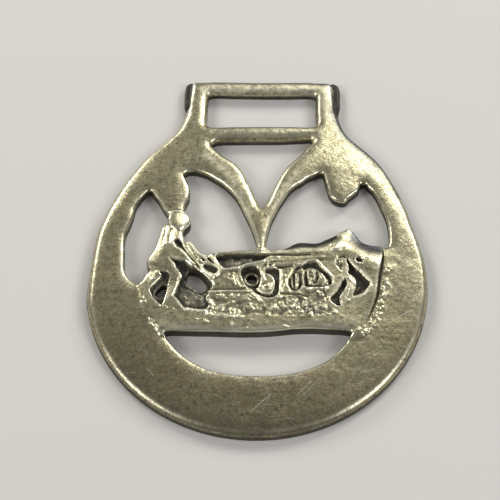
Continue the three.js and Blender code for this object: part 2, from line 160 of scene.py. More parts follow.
# The same closed line with its corners an equal length apart.
def evenLoop(line, step, fewest=12):
    ring = np.vstack([line, line[:1]])
    run = np.r_[0, np.cumsum(np.hypot(*np.diff(ring, axis=0).T))]
    count = max(fewest, int(round(run[-1] / step)))
    at = np.linspace(0, run[-1], count, endpoint=False)
    return np.c_[np.interp(at, run, ring[:, 0]), np.interp(at, run, ring[:, 1])]


# The area of a loop: half the sum of each x times the next y less each y times the next x.
# It is positive where the loop turns left.
def area(loop):
    x, y = loop.T
    return 0.5 * float(np.sum(x * np.roll(y, -1) - y * np.roll(x, -1)))


# Unit vectors that point into the metal, a quarter turn from the way along each loop.
def inward(loop):
    along = np.roll(loop, -1, 0) - np.roll(loop, 1, 0)
    along /= np.hypot(*along.T)[:, None]
    return np.c_[-along[:, 1], along[:, 0]]


# All outlines as closed loops: the foot is an arc, its centre plus its radius times cosine and sine,
# and the rest runs through its own points. The metal is on the left of every loop.
def makeLoops(o, rounds, steps):
    corner = o["crescentCorner"]
    turn = np.radians(np.arange(o["crescentFrom"], o["crescentTo"] + corner / 2, corner))
    foot = np.c_[o["crescentCentre"][0] + o["crescentRadius"] * np.cos(turn),
                 o["crescentCentre"][1] + o["crescentRadius"] * np.sin(turn)]
    loops = [smoothLoop(np.vstack([foot, o["shoulders"]]), steps["outside"])]
    names = ["outside"]
    for name in list(rounds)[1:]:
        loops.append(smoothLoop(o[name], steps["outside"] * steps["hole" if "Hole" in name else "window"]))
        names.append(name)
    loops = [l if (area(l) > 0) == (n == "outside") else l[::-1].copy() for n, l in zip(names, loops)]
    return names, loops


loopNames, loops = makeLoops(outlineMm, edgeRound, loopSteps)
print("outlines:", {n: len(l) for n, l in zip(loopNames, loops)})

farAway = 9.0  # millimetres, the distance given where a line or loop is out of reach


# The distance from each point to a chain of straight pieces: the nearest place of a piece is its start
# plus its way times a share from nought to one.
def lineDistance(points, line, closed=False, batch=4000):
    start = line if closed else line[:-1]
    end = np.roll(line, -1, 0) if closed else line[1:]
    way = end - start
    length = np.maximum((way ** 2).sum(1), 1e-12)
    out = np.empty(len(points))
    for at in range(0, len(points), batch):
        part = points[at:at + batch, None, :] - start[None]
        t = np.clip((part * way[None]).sum(2) / length[None], 0, 1)
        gap = ((part - t[:, :, None] * way[None]) ** 2).sum(2)
        out[at:at + batch] = np.sqrt(gap.min(1))
    return out


# True where a point is inside a closed loop, by counting how often a level line to its right crosses it.
# The points go in level bands, so that each meets only the loop's pieces at its own height.
def inside(points, loop, band=1.5):
    x0, y0 = loop.T
    x1, y1 = np.roll(loop, -1, 0).T
    out = np.zeros(len(points), bool)
    if not len(points):
        return out
    row = np.floor(points[:, 1] / band).astype(int)
    order = np.argsort(row, kind="stable")
    for some in np.split(order, np.flatnonzero(np.diff(row[order])) + 1):
        low = row[some[0]] * band
        e = (np.minimum(y0, y1) <= low + band) & (np.maximum(y0, y1) >= low)
        x, y = points[some, 0, None], points[some, 1, None]
        spans = (y0[e] > y) != (y1[e] > y)
        level = np.where(y1[e] == y0[e], 1e-9, y1[e] - y0[e])
        out[some] = (spans & (x < x0[e] + (y - y0[e]) * (x1[e] - x0[e]) / level)).sum(1) % 2 == 1
    return out


# True where a point is in the box of a line or loop, grown by the reach.
def inBox(points, line, reach):
    return np.all((points > line.min(0) - reach) & (points < line.max(0) + reach), axis=1)


# How deep a point is inside a closed loop: its distance to the loop, positive inside, negative outside.
def depthIn(points, loop, reach=1.5):
    out = np.full(len(points), -farAway)
    near = inBox(points, loop, reach)
    if near.any():
        some = points[near]
        gap = lineDistance(some, loop, True)
        out[near] = np.where(inside(some, loop), gap, -gap)
    return out


# The distance from each point to an open line.
def nearLine(points, line, reach=1.5):
    line = np.array(line, float)
    out = np.full(len(points), farAway)
    near = inBox(points, line, reach)
    if near.any():
        out[near] = lineDistance(points[near], line)
    return out


# A smooth step from nought to one: three times t squared less twice t cubed.
def step(t):
    t = np.clip(t, 0, 1)
    return t * t * (3 - 2 * t)


# A bell: one on the line, and e to the minus square of the distance over its half width beside it.
def bell(points, line, half, reach=1.5, power=2):
    return np.exp(-(nearLine(points, line, reach) / half) ** power)


# Value noise: random heights on a square lattice, joined by smooth steps, added over octaves.
def noise(points, size, seed, octaves=3, side=256, shift=64):
    total = np.zeros(len(points))
    for k in range(octaves):
        rng = np.random.default_rng(seed + k)
        cell = size / 2 ** k
        table = rng.random((side, side)) * 2 - 1
        q = points / cell + shift
        i = np.floor(q).astype(int)
        f = step(q - i)
        a, b = i[:, 0] % side, i[:, 1] % side
        c, d = (a + 1) % side, (b + 1) % side
        low = table[a, b] * (1 - f[:, 0]) + table[c, b] * f[:, 0]
        high = table[a, d] * (1 - f[:, 0]) + table[c, d] * f[:, 0]
        total += (low * (1 - f[:, 1]) + high * f[:, 1]) / 2 ** k
    return total


# What follows is the front's height over the back, in millimetres.
plate = dict(
    front=3.0, lowest=0.7,
    # the front falls towards the outside, more at the shoulders and at the foot
    dome=0.16, shoulderDome=0.5, footDome=0.3, domeReach=10.0, domeTile=5.0,
    shoulderFrom=2.0, shoulderRun=12.0, hangerDome=0.7, footFrom=-15.0, footRun=15.0,
    fall=0.30, fallReach=3.0,  # how far the flats fall towards their edges, and from how far in
    # the bars at the top are nearly half round
    hangerFall=0.62, hangerReach=2.3, hangerFrom=24.0, hangerTo=33.0,
    # cast and filed by hand, never quite flat
    sway=0.10, swaySize=17.0, swayShare=0.6, swaySeed=11, ripple=0.028, rippleSize=4.2, rippleSeed=21,
    barHalf=13.4, barFlat=0.75, barFade=1.5,
    lugFrom=37.0, lugFade=2.0, lugTop=1.75, lugRound=0.7, lugFall=0.8, lugSeam=0.3, lugSeamHalf=0.25,
    postRound=1.25,
    # y and half width along the posts
    postEdge=[(36.5, 18.7), (38.5, 18.35), (40.5, 18.0), (43.0, 17.75), (45.5, 17.5), (48.5, 17.0)],
)

# The raised field of the scene. It is low at its left end, where it runs into the ring, and soft and
# lower at its right foot's corner.
field = dict(
    rise=0.7, soft=0.5, step=0.4, reach=3.0,
    leftShare=0.22, fullShare=0.78, leftEnd=-24.5, leftRun=7.0, armFrom=-9.0, armShare=0.25,
    cornerX=17.0, cornerRun=6.0, cornerY=-13.0, cornerDrop=8.0, cornerSoft=1.2, cornerFall=0.45,
    edge=[(-26.3, -12.2), (-25.75, -14), (-25.3, -15.9), (-24.7, -18.4), (-24, -19.4), (-23.3, -20.6),
        (-22.4, -22), (-21.3, -23.3), (-20.6, -24.6), (-8, -25.5), (8, -25.5), (20.5, -25), (23.3, -23.6),
        (24, -21.4), (24.7, -19.4), (25.4, -17.8), (26.1, -15.8), (26.7, -13.3), (27, -11), (27.3, -8.5),
        (27.8, -6), (28.2, -4), (28.3, -2.2), (28.6, 2), (22, 5.5), (16, 2.5), (9, 1), (4, -1.2), (1, -2),
        (-1, -2), (-9, -2), (-14, 0.5), (-15, 3), (-14.5, 5), (-15.5, 7.2), (-18.2, 7.9), (-20.9, 7.2),
        (-22.2, 4.5), (-23.5, 1), (-26, -5), (-26, -9)],
    # seams: width, depth, line; a seam closes towards its foot
    creaseFoot=-22.5, creaseRun=7.0,
    creases=[(0.15, 0.75, [(28.3, -1.6), (28.2, -4), (27.8, -6), (27.3, -8.5), (27, -11), (26.7, -13.4),
        (26.1, -15.9), (25.4, -17.9), (24.7, -19.5), (24.1, -21.3), (23.8, -22.6)])],
)

# Hollows go down from the worn surface to a floor: an outline, the floor's height at its middle,
# how much the floor leans for each millimetre to the right and up, the run of its walls, and for some
# how dark the patina in it is.
hollows = dict(
    behindTheLeg=dict(floor=2.2, lean=(0.0, 0.16), wall=0.3, line=[(-21.7, -8.6), (-20.8, -8.6),
        (-19.8, -8.9), (-19.25, -9.8), (-19.35, -11), (-19.6, -12), (-19.7, -13.5), (-19.95, -15),
        (-20.2, -16.5), (-20.5, -17.2), (-20.9, -17.3), (-21.6, -16.6), (-22.4, -15.6), (-23.2, -14.5),
        (-23.55, -13.4), (-23.3, -12.5), (-22.7, -11.7), (-22, -10.9), (-21.4, -10.2), (-21.2, -9.6),
        (-21.6, -9.1)]),
    beforeTheLeg=dict(floor=2.75, lean=(0.02, -0.02), wall=0.3, line=[(-20, -5), (-18.8, -5.45),
        (-17.4, -5.65), (-16, -5.9), (-15, -6.6), (-14, -7.35), (-13, -8.1), (-12, -9), (-11.1, -9.9),
        (-10.3, -10.8), (-9.8, -11.8), (-9.75, -12.8), (-10.3, -13.9), (-10.5, -14.8), (-10.9, -15.6),
        (-10.3, -16.6), (-10.2, -17.4), (-10.6, -18.3), (-12, -18.5), (-13.5, -18.4), (-15, -18.1),
        (-15.5, -18.2), (-16.2, -17.6), (-16.9, -16.7), (-17.8, -15.7), (-18.1, -14.9), (-17.6, -14),
        (-17.4, -13), (-17.1, -12.2), (-17, -11.2), (-16.6, -10.3), (-16.9, -9.4), (-17.7, -8.7),
        (-18, -7.8), (-18.4, -6.9), (-19.1, -6.1)]),
    roundTheMiddleHole=dict(floor=1.75, lean=(-0.05, 0.08), wall=0.8, line=[(-17.3, -6.1), (-15.8, -6.3),
        (-14.5, -7.2), (-13.1, -8.2), (-12, -9.3), (-11, -10.3), (-10.2, -11.4), (-10, -12.7), (-10.8, -14),
        (-12.3, -14.5), (-13.6, -14.1), (-15, -13.3), (-16.6, -12.9), (-17, -11.4), (-16.4, -10),
        (-17.1, -8.9), (-17.6, -7.4)]),
    underTheRein=dict(floor=2.65, lean=(0.03, -0.17), wall=0.26, line=[(-9.4, -4.5), (-8, -4.1), (-5, -3.95),
        (0, -3.95), (3.4, -4.05), (2.2, -5), (1.2, -5.7), (-0.6, -6.2), (-2.4, -6.75), (-3.6, -7.3),
        (-5, -7.5), (-6.3, -7.85), (-7.4, -7.8), (-8.2, -7), (-8.9, -5.9)]),
    roundTheHole=dict(floor=2.2, lean=(-0.04, -0.03), wall=0.32, line=[(-3.5, -8.6), (-3.1, -7.7),
        (-2.4, -7.25), (-1, -7.1), (0.1, -7.4), (0.8, -8.8), (1, -10.4), (0.8, -11.9), (0.1, -13.2),
        (-0.7, -13.3), (-1.8, -12.8), (-2.7, -11.9), (-3.2, -10.7), (-3.5, -9.5)]),
    behindTheShare=dict(floor=2.95, lean=(0.02, 0.0), wall=0.3, line=[(-1.2, -13), (-0.2, -13), (0.7, -13.7),
        (1.7, -14.35), (2.6, -14.5), (3.5, -13.9), (4, -12.8), (4, -11.4), (3.6, -10.2), (2.8, -9.4),
        (1.9, -9), (1.8, -8), (3.2, -7.75), (4.6, -7.7), (5.1, -8.4), (5.15, -10.5), (5.1, -12.6),
        (4.95, -14.3), (4.2, -15.1), (3.2, -15.4), (1.9, -15.3), (0.8, -14.9), (-0.2, -14.2)]),
    hub=dict(dark=0.5, floor=3.12, lean=(0.0, -0.02), wall=0.26, line=[(8.8, -7), (10.2, -6.8),
        (11.2, -5.95), (13.2, -5.75), (13.9, -6.8), (14.9, -7.9), (16, -9), (16.6, -10), (16.7, -11.6),
        (15.7, -12.2), (14.6, -12.5), (12.6, -12.6), (10.9, -12.5), (10.4, -12), (9.9, -12.8), (8.7, -13.5),
        (7.8, -13.2), (7.15, -12.1), (7.1, -10.3), (7.7, -9), (8.3, -8)]),
    overTheHub=dict(floor=2.55, lean=(0.0, 0.0), wall=0.32, line=[(10, -7.1), (11.1, -6.1), (13.1, -5.85),
        (13.8, -6.8), (14.8, -7.9), (15.9, -9), (16.5, -10.1), (16.6, -11.6), (15.9, -12), (15.8, -10.6),
        (14.9, -9.4), (13.9, -8.3), (12.8, -7.4), (11.6, -7.2), (10.6, -7.9)]),
    foreleg=dict(floor=2.4, lean=(-0.07, -0.05), wall=0.3, line=[(20.1, -4.9), (20.9, -5.9), (21.8, -7.1),
        (22.8, -8.2), (23.6, -9.3), (24.5, -10.3), (25.1, -10.9), (24.9, -11.9), (24.2, -12.9),
        (23.4, -13.8), (22.2, -14.4), (21.3, -14.7), (21.3, -13.9), (21.8, -12.6), (22, -11.4),
        (21.7, -10.3), (21, -9.5), (20.2, -8.8), (20.4, -7.9), (20.3, -6.9), (19.9, -5.7)]),
    betweenTheLegs=dict(floor=2.45, lean=(0.0, -0.03), wall=0.3, line=[(19.4, -10.1), (19.95, -10.3),
        (20.1, -11.5), (19.6, -12.8), (18.9, -14), (18.4, -15), (18.4, -16.2), (18.7, -16.9), (17.9, -17.2),
        (17.1, -16.7), (16.4, -15.9), (16.4, -14.9), (17.2, -14), (18, -12.8), (18.6, -11.5)]),
    bitPit=dict(floor=3.05, lean=(0.0, 0.0), wall=0.4, line=[(21.9, -4.9), (22.7, -4.5), (23.5, -5),
        (23.7, -5.9), (22.9, -6), (22.1, -5.7)]),
    grip=dict(dark=0.6, floor=3.0, lean=(-0.04, 0.0), wall=0.3, line=[(-12, -7.5), (-11.6, -6.7),
        (-10.6, -6.9), (-9.5, -7.2), (-8.7, -8.1), (-8.7, -9), (-9.4, -9.4), (-10.2, -9.1), (-11.2, -8.5)]),
    gripSlot=dict(floor=2.95, lean=(0.0, 0.0), wall=0.2, line=[(-11.3, -5), (-10.6, -5.1), (-9.9, -6),
        (-9.3, -6.8), (-9, -7.5), (-9.7, -7), (-10.6, -6.2)]),
    underTheHandle=dict(floor=2.75, lean=(0.0, 0.0), wall=0.3, line=[(-18.6, -0.2), (-17.7, -0.1),
        (-17.1, -0.8), (-16.8, -1.6), (-16.2, -2.9), (-15.3, -4.2), (-14.3, -5.4), (-13.3, -6.6),
        (-12.5, -7.6), (-12.6, -8.3), (-13.4, -7.4), (-14.2, -6.5), (-15.1, -5.4), (-16, -4.1), (-16.8, -3),
        (-17.7, -2.3), (-18.7, -1.8)]),
    rearHandle=dict(floor=3.0, lean=(0.0, 0.0), wall=0.25, line=[(-14.6, -3.3), (-13.9, -4.3), (-13, -5.1),
        (-12, -5.2), (-11.5, -5.9), (-11.9, -6.4), (-12.8, -5.4), (-13.6, -5.1), (-14.3, -4.5)]),
)
hollowForm = dict(step=0.3, rough=0.13, size=1.5, seed=41, lip=0.035, lipAway=0.14, lipHalf=0.13)

# Low and rough ground between the figures: its drop below the worn surface, and how rough it is.
grounds = dict(
    besideTheHole=dict(drop=0.22, wall=0.4, rough=0.09, size=1.3, line=[(-9.9, -10.8), (-8.4, -9.4),
        (-7.4, -8.8), (-5.2, -8.5), (-4, -8.4), (-3.7, -9.6), (-3.3, -11), (-2.4, -12.6), (-2, -13.1),
        (-6, -13.2), (-10, -13.2), (-9.6, -12.2)]),
    underTheBeam=dict(drop=0.30, wall=0.35, rough=0.09, size=1.2, line=[(1, -6.8), (2.2, -6.2), (4.2, -6.9),
        (5.4, -7), (8, -6.9), (9, -6.6), (8.2, -8.2), (7.3, -10), (6.6, -11.4), (5.6, -13.6), (5.2, -9),
        (4.8, -7.8), (2, -7.8), (1.9, -9), (1.1, -9.2)]),
    clods=dict(drop=0.14, wall=0.8, rough=0.15, size=1.6, line=[(-9.9, -15), (-6, -16), (-2, -16.2),
        (2, -16.2), (5.2, -15), (7.2, -14.4), (10, -14), (14.8, -12.8), (16, -14.6), (16.2, -17.3),
        (17, -18.8), (14, -19.8), (11, -20), (6, -20.2), (2, -20), (-3, -20.2), (-6, -19.7), (-9.8, -19.5),
        (-10.1, -17)]),
    turnedEarth=dict(drop=0.0, wall=0.8, rough=0.04, size=1.6, line=[(-19, -18.6), (-14, -19.6), (-8, -20.6),
        (0, -20.4), (10, -20.4), (18, -20), (22, -21), (20, -24), (0, -24.4), (-19, -24.2), (-21, -22)]),
    rightSeam=dict(drop=-0.01, wall=0.7, rough=0.055, size=0.75, line=[(28.6, -6), (29.4, -8.4), (29.3, -10),
        (29.2, -12.5), (28.8, -15.5), (28, -18.8), (26.9, -21.4), (25.5, -23.8), (24, -24.8), (21.6, -24.6),
        (21, -22.6), (23.9, -22.2), (25.2, -19.6), (26.4, -16.4), (27.1, -13), (27.5, -9.5), (28, -6.5)]),
    leftSeam=dict(drop=0.0, wall=0.9, rough=0.04, size=1.1, line=[(-26.8, -13), (-25.4, -13.6),
        (-24.6, -17.6), (-22.8, -20.6), (-21.4, -23.6), (-22.6, -25.4), (-24.8, -22.6), (-27, -18)]),
)
groundForm = dict(step=0.35, seed=31, crests=0.5)

# Raised strokes: the height of the crest above the worn surface, its half width, and its line.
ridges = dict(
    arm=(0.16, 0.6, [(-19.2, -1.6), (-18.6, -2.6), (-17.4, -3.3), (-16.4, -4.3), (-15.7, -5.3),
        (-14.9, -6.3), (-14.2, -6.9)]),
    farHandle=(0.24, 0.45, [(-15.6, -1.2), (-14.9, -1.8), (-14.2, -2.9), (-13.5, -3.9), (-12.6, -4.5),
        (-11.4, -4.4)]),
    nearHandle=(0.02, 0.5, [(-16.4, -1.7), (-15.7, -3), (-14.8, -4.3), (-13.9, -5.4), (-13, -6.4),
        (-12.4, -7.2)]),
    gripUnder=(0.22, 0.38, [(-12.5, -7.3), (-12.1, -8.2), (-11.3, -8.8), (-10.5, -9.5), (-9.7, -10.1),
        (-9, -9.8), (-8.5, -9.2), (-8.2, -8.5), (-8.2, -7.8)]),
    gripOver=(0.24, 0.34, [(-8.3, -7.9), (-8.9, -7), (-9.6, -5.9), (-10.4, -4.8), (-10.2, -4.2),
        (-9.4, -3.9)]),
    gripMiddle=(0.10, 0.22, [(-12.1, -4.9), (-11.2, -5.8), (-10.1, -6.8), (-9.2, -7.4)]),
    rein=(0.05, 0.5, [(-9, -3.4), (-5, -3.2), (0, -3.1), (5, -3.2), (9, -3.2)]),
    beamRear=(0.2, 0.32, [(-8, -8.45), (-6.4, -8.2), (-5, -7.9), (-4.2, -7.75), (-2.6, -7), (-1, -6.65),
        (0.6, -6.2), (1.6, -6.05)]),
    beam=(0.05, 0.75, [(2.6, -5.9), (6, -5.7), (10, -5.2), (15, -4.8)]),
    coulter=(0.14, 0.2, [(2.6, -5.9), (2.45, -6.8), (2.5, -7.5)]),
    coulterHook=(0.14, 0.2, [(4, -6.8), (3.6, -7.2), (3.1, -7.5)]),
    pin=(0.2, 0.22, [(4.75, -4.7), (4.85, -5.2)]),
    moundA=(0.02, 0.24, [(-5.3, -9.7), (-5, -11), (-4.5, -12.2)]),
    moundB=(0.10, 0.24, [(-4.4, -9.9), (-4.3, -11.2), (-3.8, -12.2), (-3, -12.7), (-2.5, -12.6)]),
    moundC=(0.06, 0.22, [(-3.4, -10), (-3.1, -11), (-2.6, -11.9)]),
    furrowEdge=(0.16, 0.5, [(-10.2, -14.1), (-8.6, -14), (-6, -13.95), (-3.5, -13.9), (-1.6, -13.8)]),
    furrowSlice=(0.26, 0.36, [(-1.4, -13.8), (-0.4, -14.5), (0.3, -15.3), (1, -16.2)]),
    clodA=(0.2, 0.34, [(-2, -14.8), (-1.2, -15.4), (-0.5, -15.6)]),
    shareA=(0.2, 0.28, [(1.4, -9.3), (1.5, -10.1), (1.95, -11)]),
    shareB=(0.2, 0.3, [(1.2, -12.5), (1.6, -13.2), (2.2, -13.55), (2.9, -13.3), (3.35, -12.7),
        (3.4, -11.8)]),
    shareC=(0.02, 0.18, [(2.2, -9.3), (3, -10.3), (3.8, -11.6)]),
    shareD=(-0.1, 0.3, [(1.3, -12.2), (2, -11.6), (2.9, -11.6)]),
    spokeA=(0.2, 0.22, [(5.75, -13.8), (6, -12.8), (6.5, -11.7)]),
    spokeB=(0.22, 0.26, [(6.5, -11.6), (6.8, -12.4), (7.2, -13.2), (7.8, -13.85), (8.8, -14), (9.4, -14)]),
    hubEdgeA=(0.14, 0.25, [(8.2, -8), (7.8, -9), (7.3, -10.1)]),
    hubEdgeB=(0.14, 0.3, [(10.4, -8.8), (10.25, -10.4), (10.45, -12)]),
    hubEdgeC=(0.10, 0.25, [(14, -6.3), (14.8, -7.4), (16, -8.7), (16.9, -9.8)]),
    innerA=(-0.32, 0.22, [(7.85, -9.8), (7.75, -11.2), (8.1, -12.6)]),
    innerB=(-0.28, 0.22, [(8.65, -9), (8.75, -10.8), (8.75, -12.7)]),
    innerC=(-0.22, 0.3, [(11.5, -8.2), (11.4, -9.5), (11.7, -10.8), (12.3, -11.3)]),
    innerD=(-0.24, 0.28, [(12.3, -7.9), (12.9, -8.6), (12.9, -10.4)]),
    innerE=(-0.26, 0.5, [(14.2, -9), (14.9, -10), (15.1, -11.3)]),
    bridle=(0.14, 0.24, [(18, -4.95), (17.5, -5.8), (17.55, -7.2), (18.4, -8.4)]),
    bridleInner=(-0.1, 0.2, [(18.5, -5.3), (18.6, -6)]),
    bridleFront=(0.0, 0.25, [(19.3, -5.1), (19.7, -5.9), (20, -6.8)]),
    bit=(0.12, 0.22, [(22, -6.15), (22.8, -6.4), (23.5, -6.4)]),
    hoofEdge=(0.2, 0.34, [(25.2, -11.9), (24.7, -12.8), (23.9, -13.9), (22.7, -14.7), (21.2, -15.2)]),
    legFront=(0.14, 0.6, [(20.5, -10.2), (21.2, -11.2), (20.8, -13), (20.3, -14.8)]),
    inTheForeleg=(-0.75, 0.3, [(22.6, -12.1), (22.2, -13), (21.8, -13.8)]),
    betweenEdge=(0.1, 0.22, [(16.9, -14), (16.3, -14.8), (16.2, -15.9)]),
    ledge=(0.16, 0.4, [(-15.5, -18.6), (-14, -18.8), (-12.4, -18.95), (-10.9, -19), (-10.5, -19.9),
        (-9.2, -20), (-7, -19.9), (-5.6, -20.2), (-4.6, -20.4), (-3.3, -20.3)]),
    shin=(0.10, 0.24, [(-18.2, -15.2), (-17.2, -16.4), (-16.3, -17.7), (-15.6, -18.5)]),
    knee=(0.12, 0.28, [(-19.9, -5.4), (-18.8, -6.6), (-18.2, -8), (-17.3, -9), (-16.95, -10.3),
        (-17.4, -11)]),
    calf=(0.10, 0.24, [(-17.3, -11.5), (-17.5, -13), (-18.2, -14.9)]),
    heel=(0.12, 0.22, [(-23.7, -13.6), (-22.9, -15.2), (-21.8, -16.6), (-20.9, -17.5), (-19.8, -17.7),
        (-19.2, -18.2)]),
    shoe=(0.10, 0.2, [(-19.2, -18.2), (-18.2, -18.3), (-17.5, -18.8)]),
    markA=(0.14, 0.26, [(-12.9, -20.9), (-12.2, -21.25), (-11.5, -20.9)]),
    markB=(0.2, 0.3, [(-11, -21.3), (-10.3, -21.7)]),
    markC=(0.16, 0.25, [(6.2, -22.2), (7.2, -22.6), (8.3, -22.6), (9.1, -22.4)]),
    markD=(0.14, 0.22, [(-4.8, -23.5), (-3.4, -23.4), (-2.4, -22.9), (-1.6, -22.9)]),
    rearCorner=(0.05, 0.5, [(-22.6, -21), (-21.9, -22), (-21.2, -23)]),
    frontCorner=(0.12, 0.26, [(25.9, -20.4), (25.2, -21.8), (24.4, -23.2)]),
)
ridgeForm = dict(sway=0.03, size=1.6, seed=51, bend=0.3, end=2.0, reach=2.5)

# Thin sunk lines: width, depth, line.
grooves = [
    (0.2, 0.5, [(3, -4.2), (6, -4.15), (9, -4.2), (12, -4)]),
    (0.26, 0.4, [(4.6, -7.6), (6.4, -7.2), (8, -6.95)]),
    (0.2, 0.3, [(14, -5.6), (15.6, -5.35)]),
    (0.2, 0.6, [(-10.2, -13.35), (-6, -13.25), (-2.2, -13.2)]),
    (0.12, 0.35, [(-19.2, -11.1), (-17.2, -11.1)]),
    (0.2, 0.5, [(-18.7, -1.8), (-17.5, -2.25), (-16.6, -3), (-15.9, -4), (-15, -5.2), (-14.2, -6.2),
        (-13, -7.6), (-12, -8.7)]),
    (0.4, 0.16, [(-19.7, 2.4), (-20, 0.8), (-20.2, -1.2)]),
    (0.18, 0.4, [(18.2, -4.75), (19.2, -4.55), (20.2, -4.95)]),
    (0.2, 0.3, [(18.2, -5.4), (18.1, -6.6), (18.8, -7.7)]),
    (0.16, 0.25, [(19.2, -5.3), (19.4, -6.2), (19.7, -7.2)]),
    (0.12, 0.12, [(-4.95, -20.9), (-5, -22.2), (-4.95, -23.3)]),
    (0.28, 0.45, [(10.9, -11.7), (12.4, -12.15), (14, -11.95)]),
    (0.22, 0.4, [(13.4, -8.3), (13.6, -9.6), (13.3, -10.8), (12.6, -11.1)]),
    (0.24, 0.35, [(8.6, -7.6), (8, -8.8), (7.35, -10.4), (7.3, -12), (7.9, -13.1), (8.7, -13.3),
        (9.5, -12.7), (9.85, -11), (9.7, -9)]),
    (0.16, 0.25, [(8.3, -9.4), (8.3, -11), (8.4, -12.6)]),
    (0.18, 0.3, [(10.95, -8.4), (10.8, -10), (11.1, -11.3)]),
    (0.16, 0.3, [(5.3, -14.35), (7.2, -14.4), (9.6, -14.55), (11.6, -14.9)]),
    (0.24, 0.35, [(14.8, -12.6), (15, -13.8), (15.4, -14.8)]),
    (0.35, 0.4, [(17, -1.6), (17.6, -2)]),
]

# Round lumps and pits: x, y, radius, rise.
lumps = [
    (-16.1, -2.3, 0.35, 0.35), (-15.5, -3.4, 0.35, 0.3), (-12.8, -6.1, 0.8, 0.5), (-17.8, -0.9, 0.5, 0.25),
    (-12.3, -7.6, 0.4, 0.25), (-8.3, -7.8, 0.42, 0.28), (-4.2, -7.9, 0.5, 0.22), (-1.5, -13.8, 0.5, 0.3),
    (-9.8, -10.3, 0.35, 0.2), (-8.6, -14.3, 0.5, 0.2), (-18.3, -6.9, 0.35, 0.15), (-22.2, -9.1, 0.4, 0.3),
    (-22.9, -10.6, 0.4, 0.2), (2.4, -12.4, 0.5, 0.35), (11.9, -10.2, 0.3, 0.28), (12.8, -10.1, 0.28, 0.2),
    (18.9, -7, 0.65, -0.45), (17.85, -4.9, 0.38, 0.24), (18.5, -8.4, 0.3, 0.15), (26.7, -6.3, 0.6, 0.16),
    (-12.3, -15.6, 0.5, 0.3), (-14.3, -16.6, 0.9, 0.3), (-11.6, -17, 0.6, 0.2), (-16.2, -15.2, 0.7, 0.2),
    (-13.2, -17.4, 0.5, 0.2), (5.2, -15.4, 0.5, 0.38), (5.6, -16.7, 0.5, 0.4), (4.6, -18.1, 0.4, 0.3),
    (2.8, -19.3, 0.45, 0.3), (0.9, -18.4, 0.5, 0.3), (1.8, -17.5, 0.5, 0.32), (-0.6, -17.2, 0.6, 0.25),
    (-2.2, -17.9, 0.5, 0.28), (-1.9, -18.6, 0.4, 0.2), (8.5, -16, 0.5, 0.4), (8.7, -17.6, 0.6, 0.42),
    (9.8, -18.7, 0.4, 0.35), (10.8, -17.4, 0.5, 0.4), (11.3, -18.3, 0.4, 0.3), (11.9, -19.3, 0.45, 0.35),
    (12.8, -16.6, 0.4, 0.4), (13.4, -18, 0.4, 0.25), (11.6, -13.2, 0.5, 0.35), (13.4, -13.8, 0.35, 0.35),
    (14.3, -14.7, 0.35, 0.3), (14.9, -15.9, 0.35, 0.3), (15, -17.8, 0.5, 0.3), (15.4, -19.1, 0.4, 0.22),
    (17.2, -18.9, 0.42, 0.35), (15.5, -12.9, 0.35, 0.25), (-7.5, -17.4, 0.4, 0.3), (-9.9, -17, 0.4, 0.22),
    (-5.4, -16.9, 0.6, 0.22), (-3.2, -16.9, 0.5, 0.2), (-5.6, -19.4, 0.4, 0.25), (-3.7, -19.9, 0.5, 0.2),
    (-8.2, -18.2, 0.4, 0.2), (6.5, -16.5, 0.6, -0.4), (7.5, -15.6, 0.4, -0.3), (12, -17.6, 0.4, -0.35),
    (1.8, -18.4, 0.35, -0.3), (-3.2, -18.4, 0.5, -0.3), (10, -16.2, 0.5, -0.35), (13, -18.9, 0.5, -0.25),
    (-0.4, -16.6, 0.5, -0.3), (-6.6, -18, 0.5, -0.3), (22.6, 18.4, 0.32, -0.22), (18.7, 14.6, 0.3, -0.2),
    (28.3, -13.8, 0.45, 0.22), (27.2, -15.9, 0.4, 0.22), (27, -17.4, 0.4, 0.22), (22.3, -22.9, 0.45, 0.25),
    (21.6, -23.4, 0.4, 0.15), (23.2, -23.9, 0.45, 0.2), (24.6, -22.9, 0.4, 0.2), (20.2, -15.9, 0.4, 0.15),
    (-21.2, -23, 0.45, 0.18), (-26.2, -12.5, 0.35, 0.14), (31.2, -5.2, 0.35, -0.22), (31.6, -5, 0.25, 0.15),
    (29.9, -10.9, 0.5, -0.2), (-22.9, -33.2, 0.35, 0.1), (-12, -38.6, 0.4, -0.12), (-13.4, -36.6, 0.3, 0.08),
    (-7.3, -40.4, 0.4, -0.1), (0.6, -33.8, 0.3, 0.12),
]
lumpShare = 0.7

# Flat facets worn onto the front: the height at the middle, the lean for each millimetre to the right
# and up, and how softly the facet runs out into what is round it.
facets = dict(
    backOfTheCoat=dict(top=3.58, lean=(0.34, -0.09), soft=0.25, line=[(-20.95, 3.6), (-20.1, 3.6),
        (-20.35, 1.5), (-20.65, -0.5), (-21, -2.3), (-21.5, -2.2), (-21.4, -0.5), (-21.15, 1.5)]),
    frontOfTheCoat=dict(top=3.78, lean=(0.34, -0.09), soft=0.22, line=[(-19.25, 2.6), (-18.45, 2.6),
        (-18.7, 0.6), (-19, -1.2), (-19.7, -1.4), (-19.45, 0.6)]),
    browPatch=dict(top=3.95, lean=(-0.15, -0.12), soft=1.1, line=[(16.6, -3.1), (17, -1.7), (18, -0.4),
        (19.2, 0.9), (20.7, 0.9), (21, -0.6), (20, -2), (18.6, -3.2)]),
)
facetForm = dict(step=0.3, start=0.3)

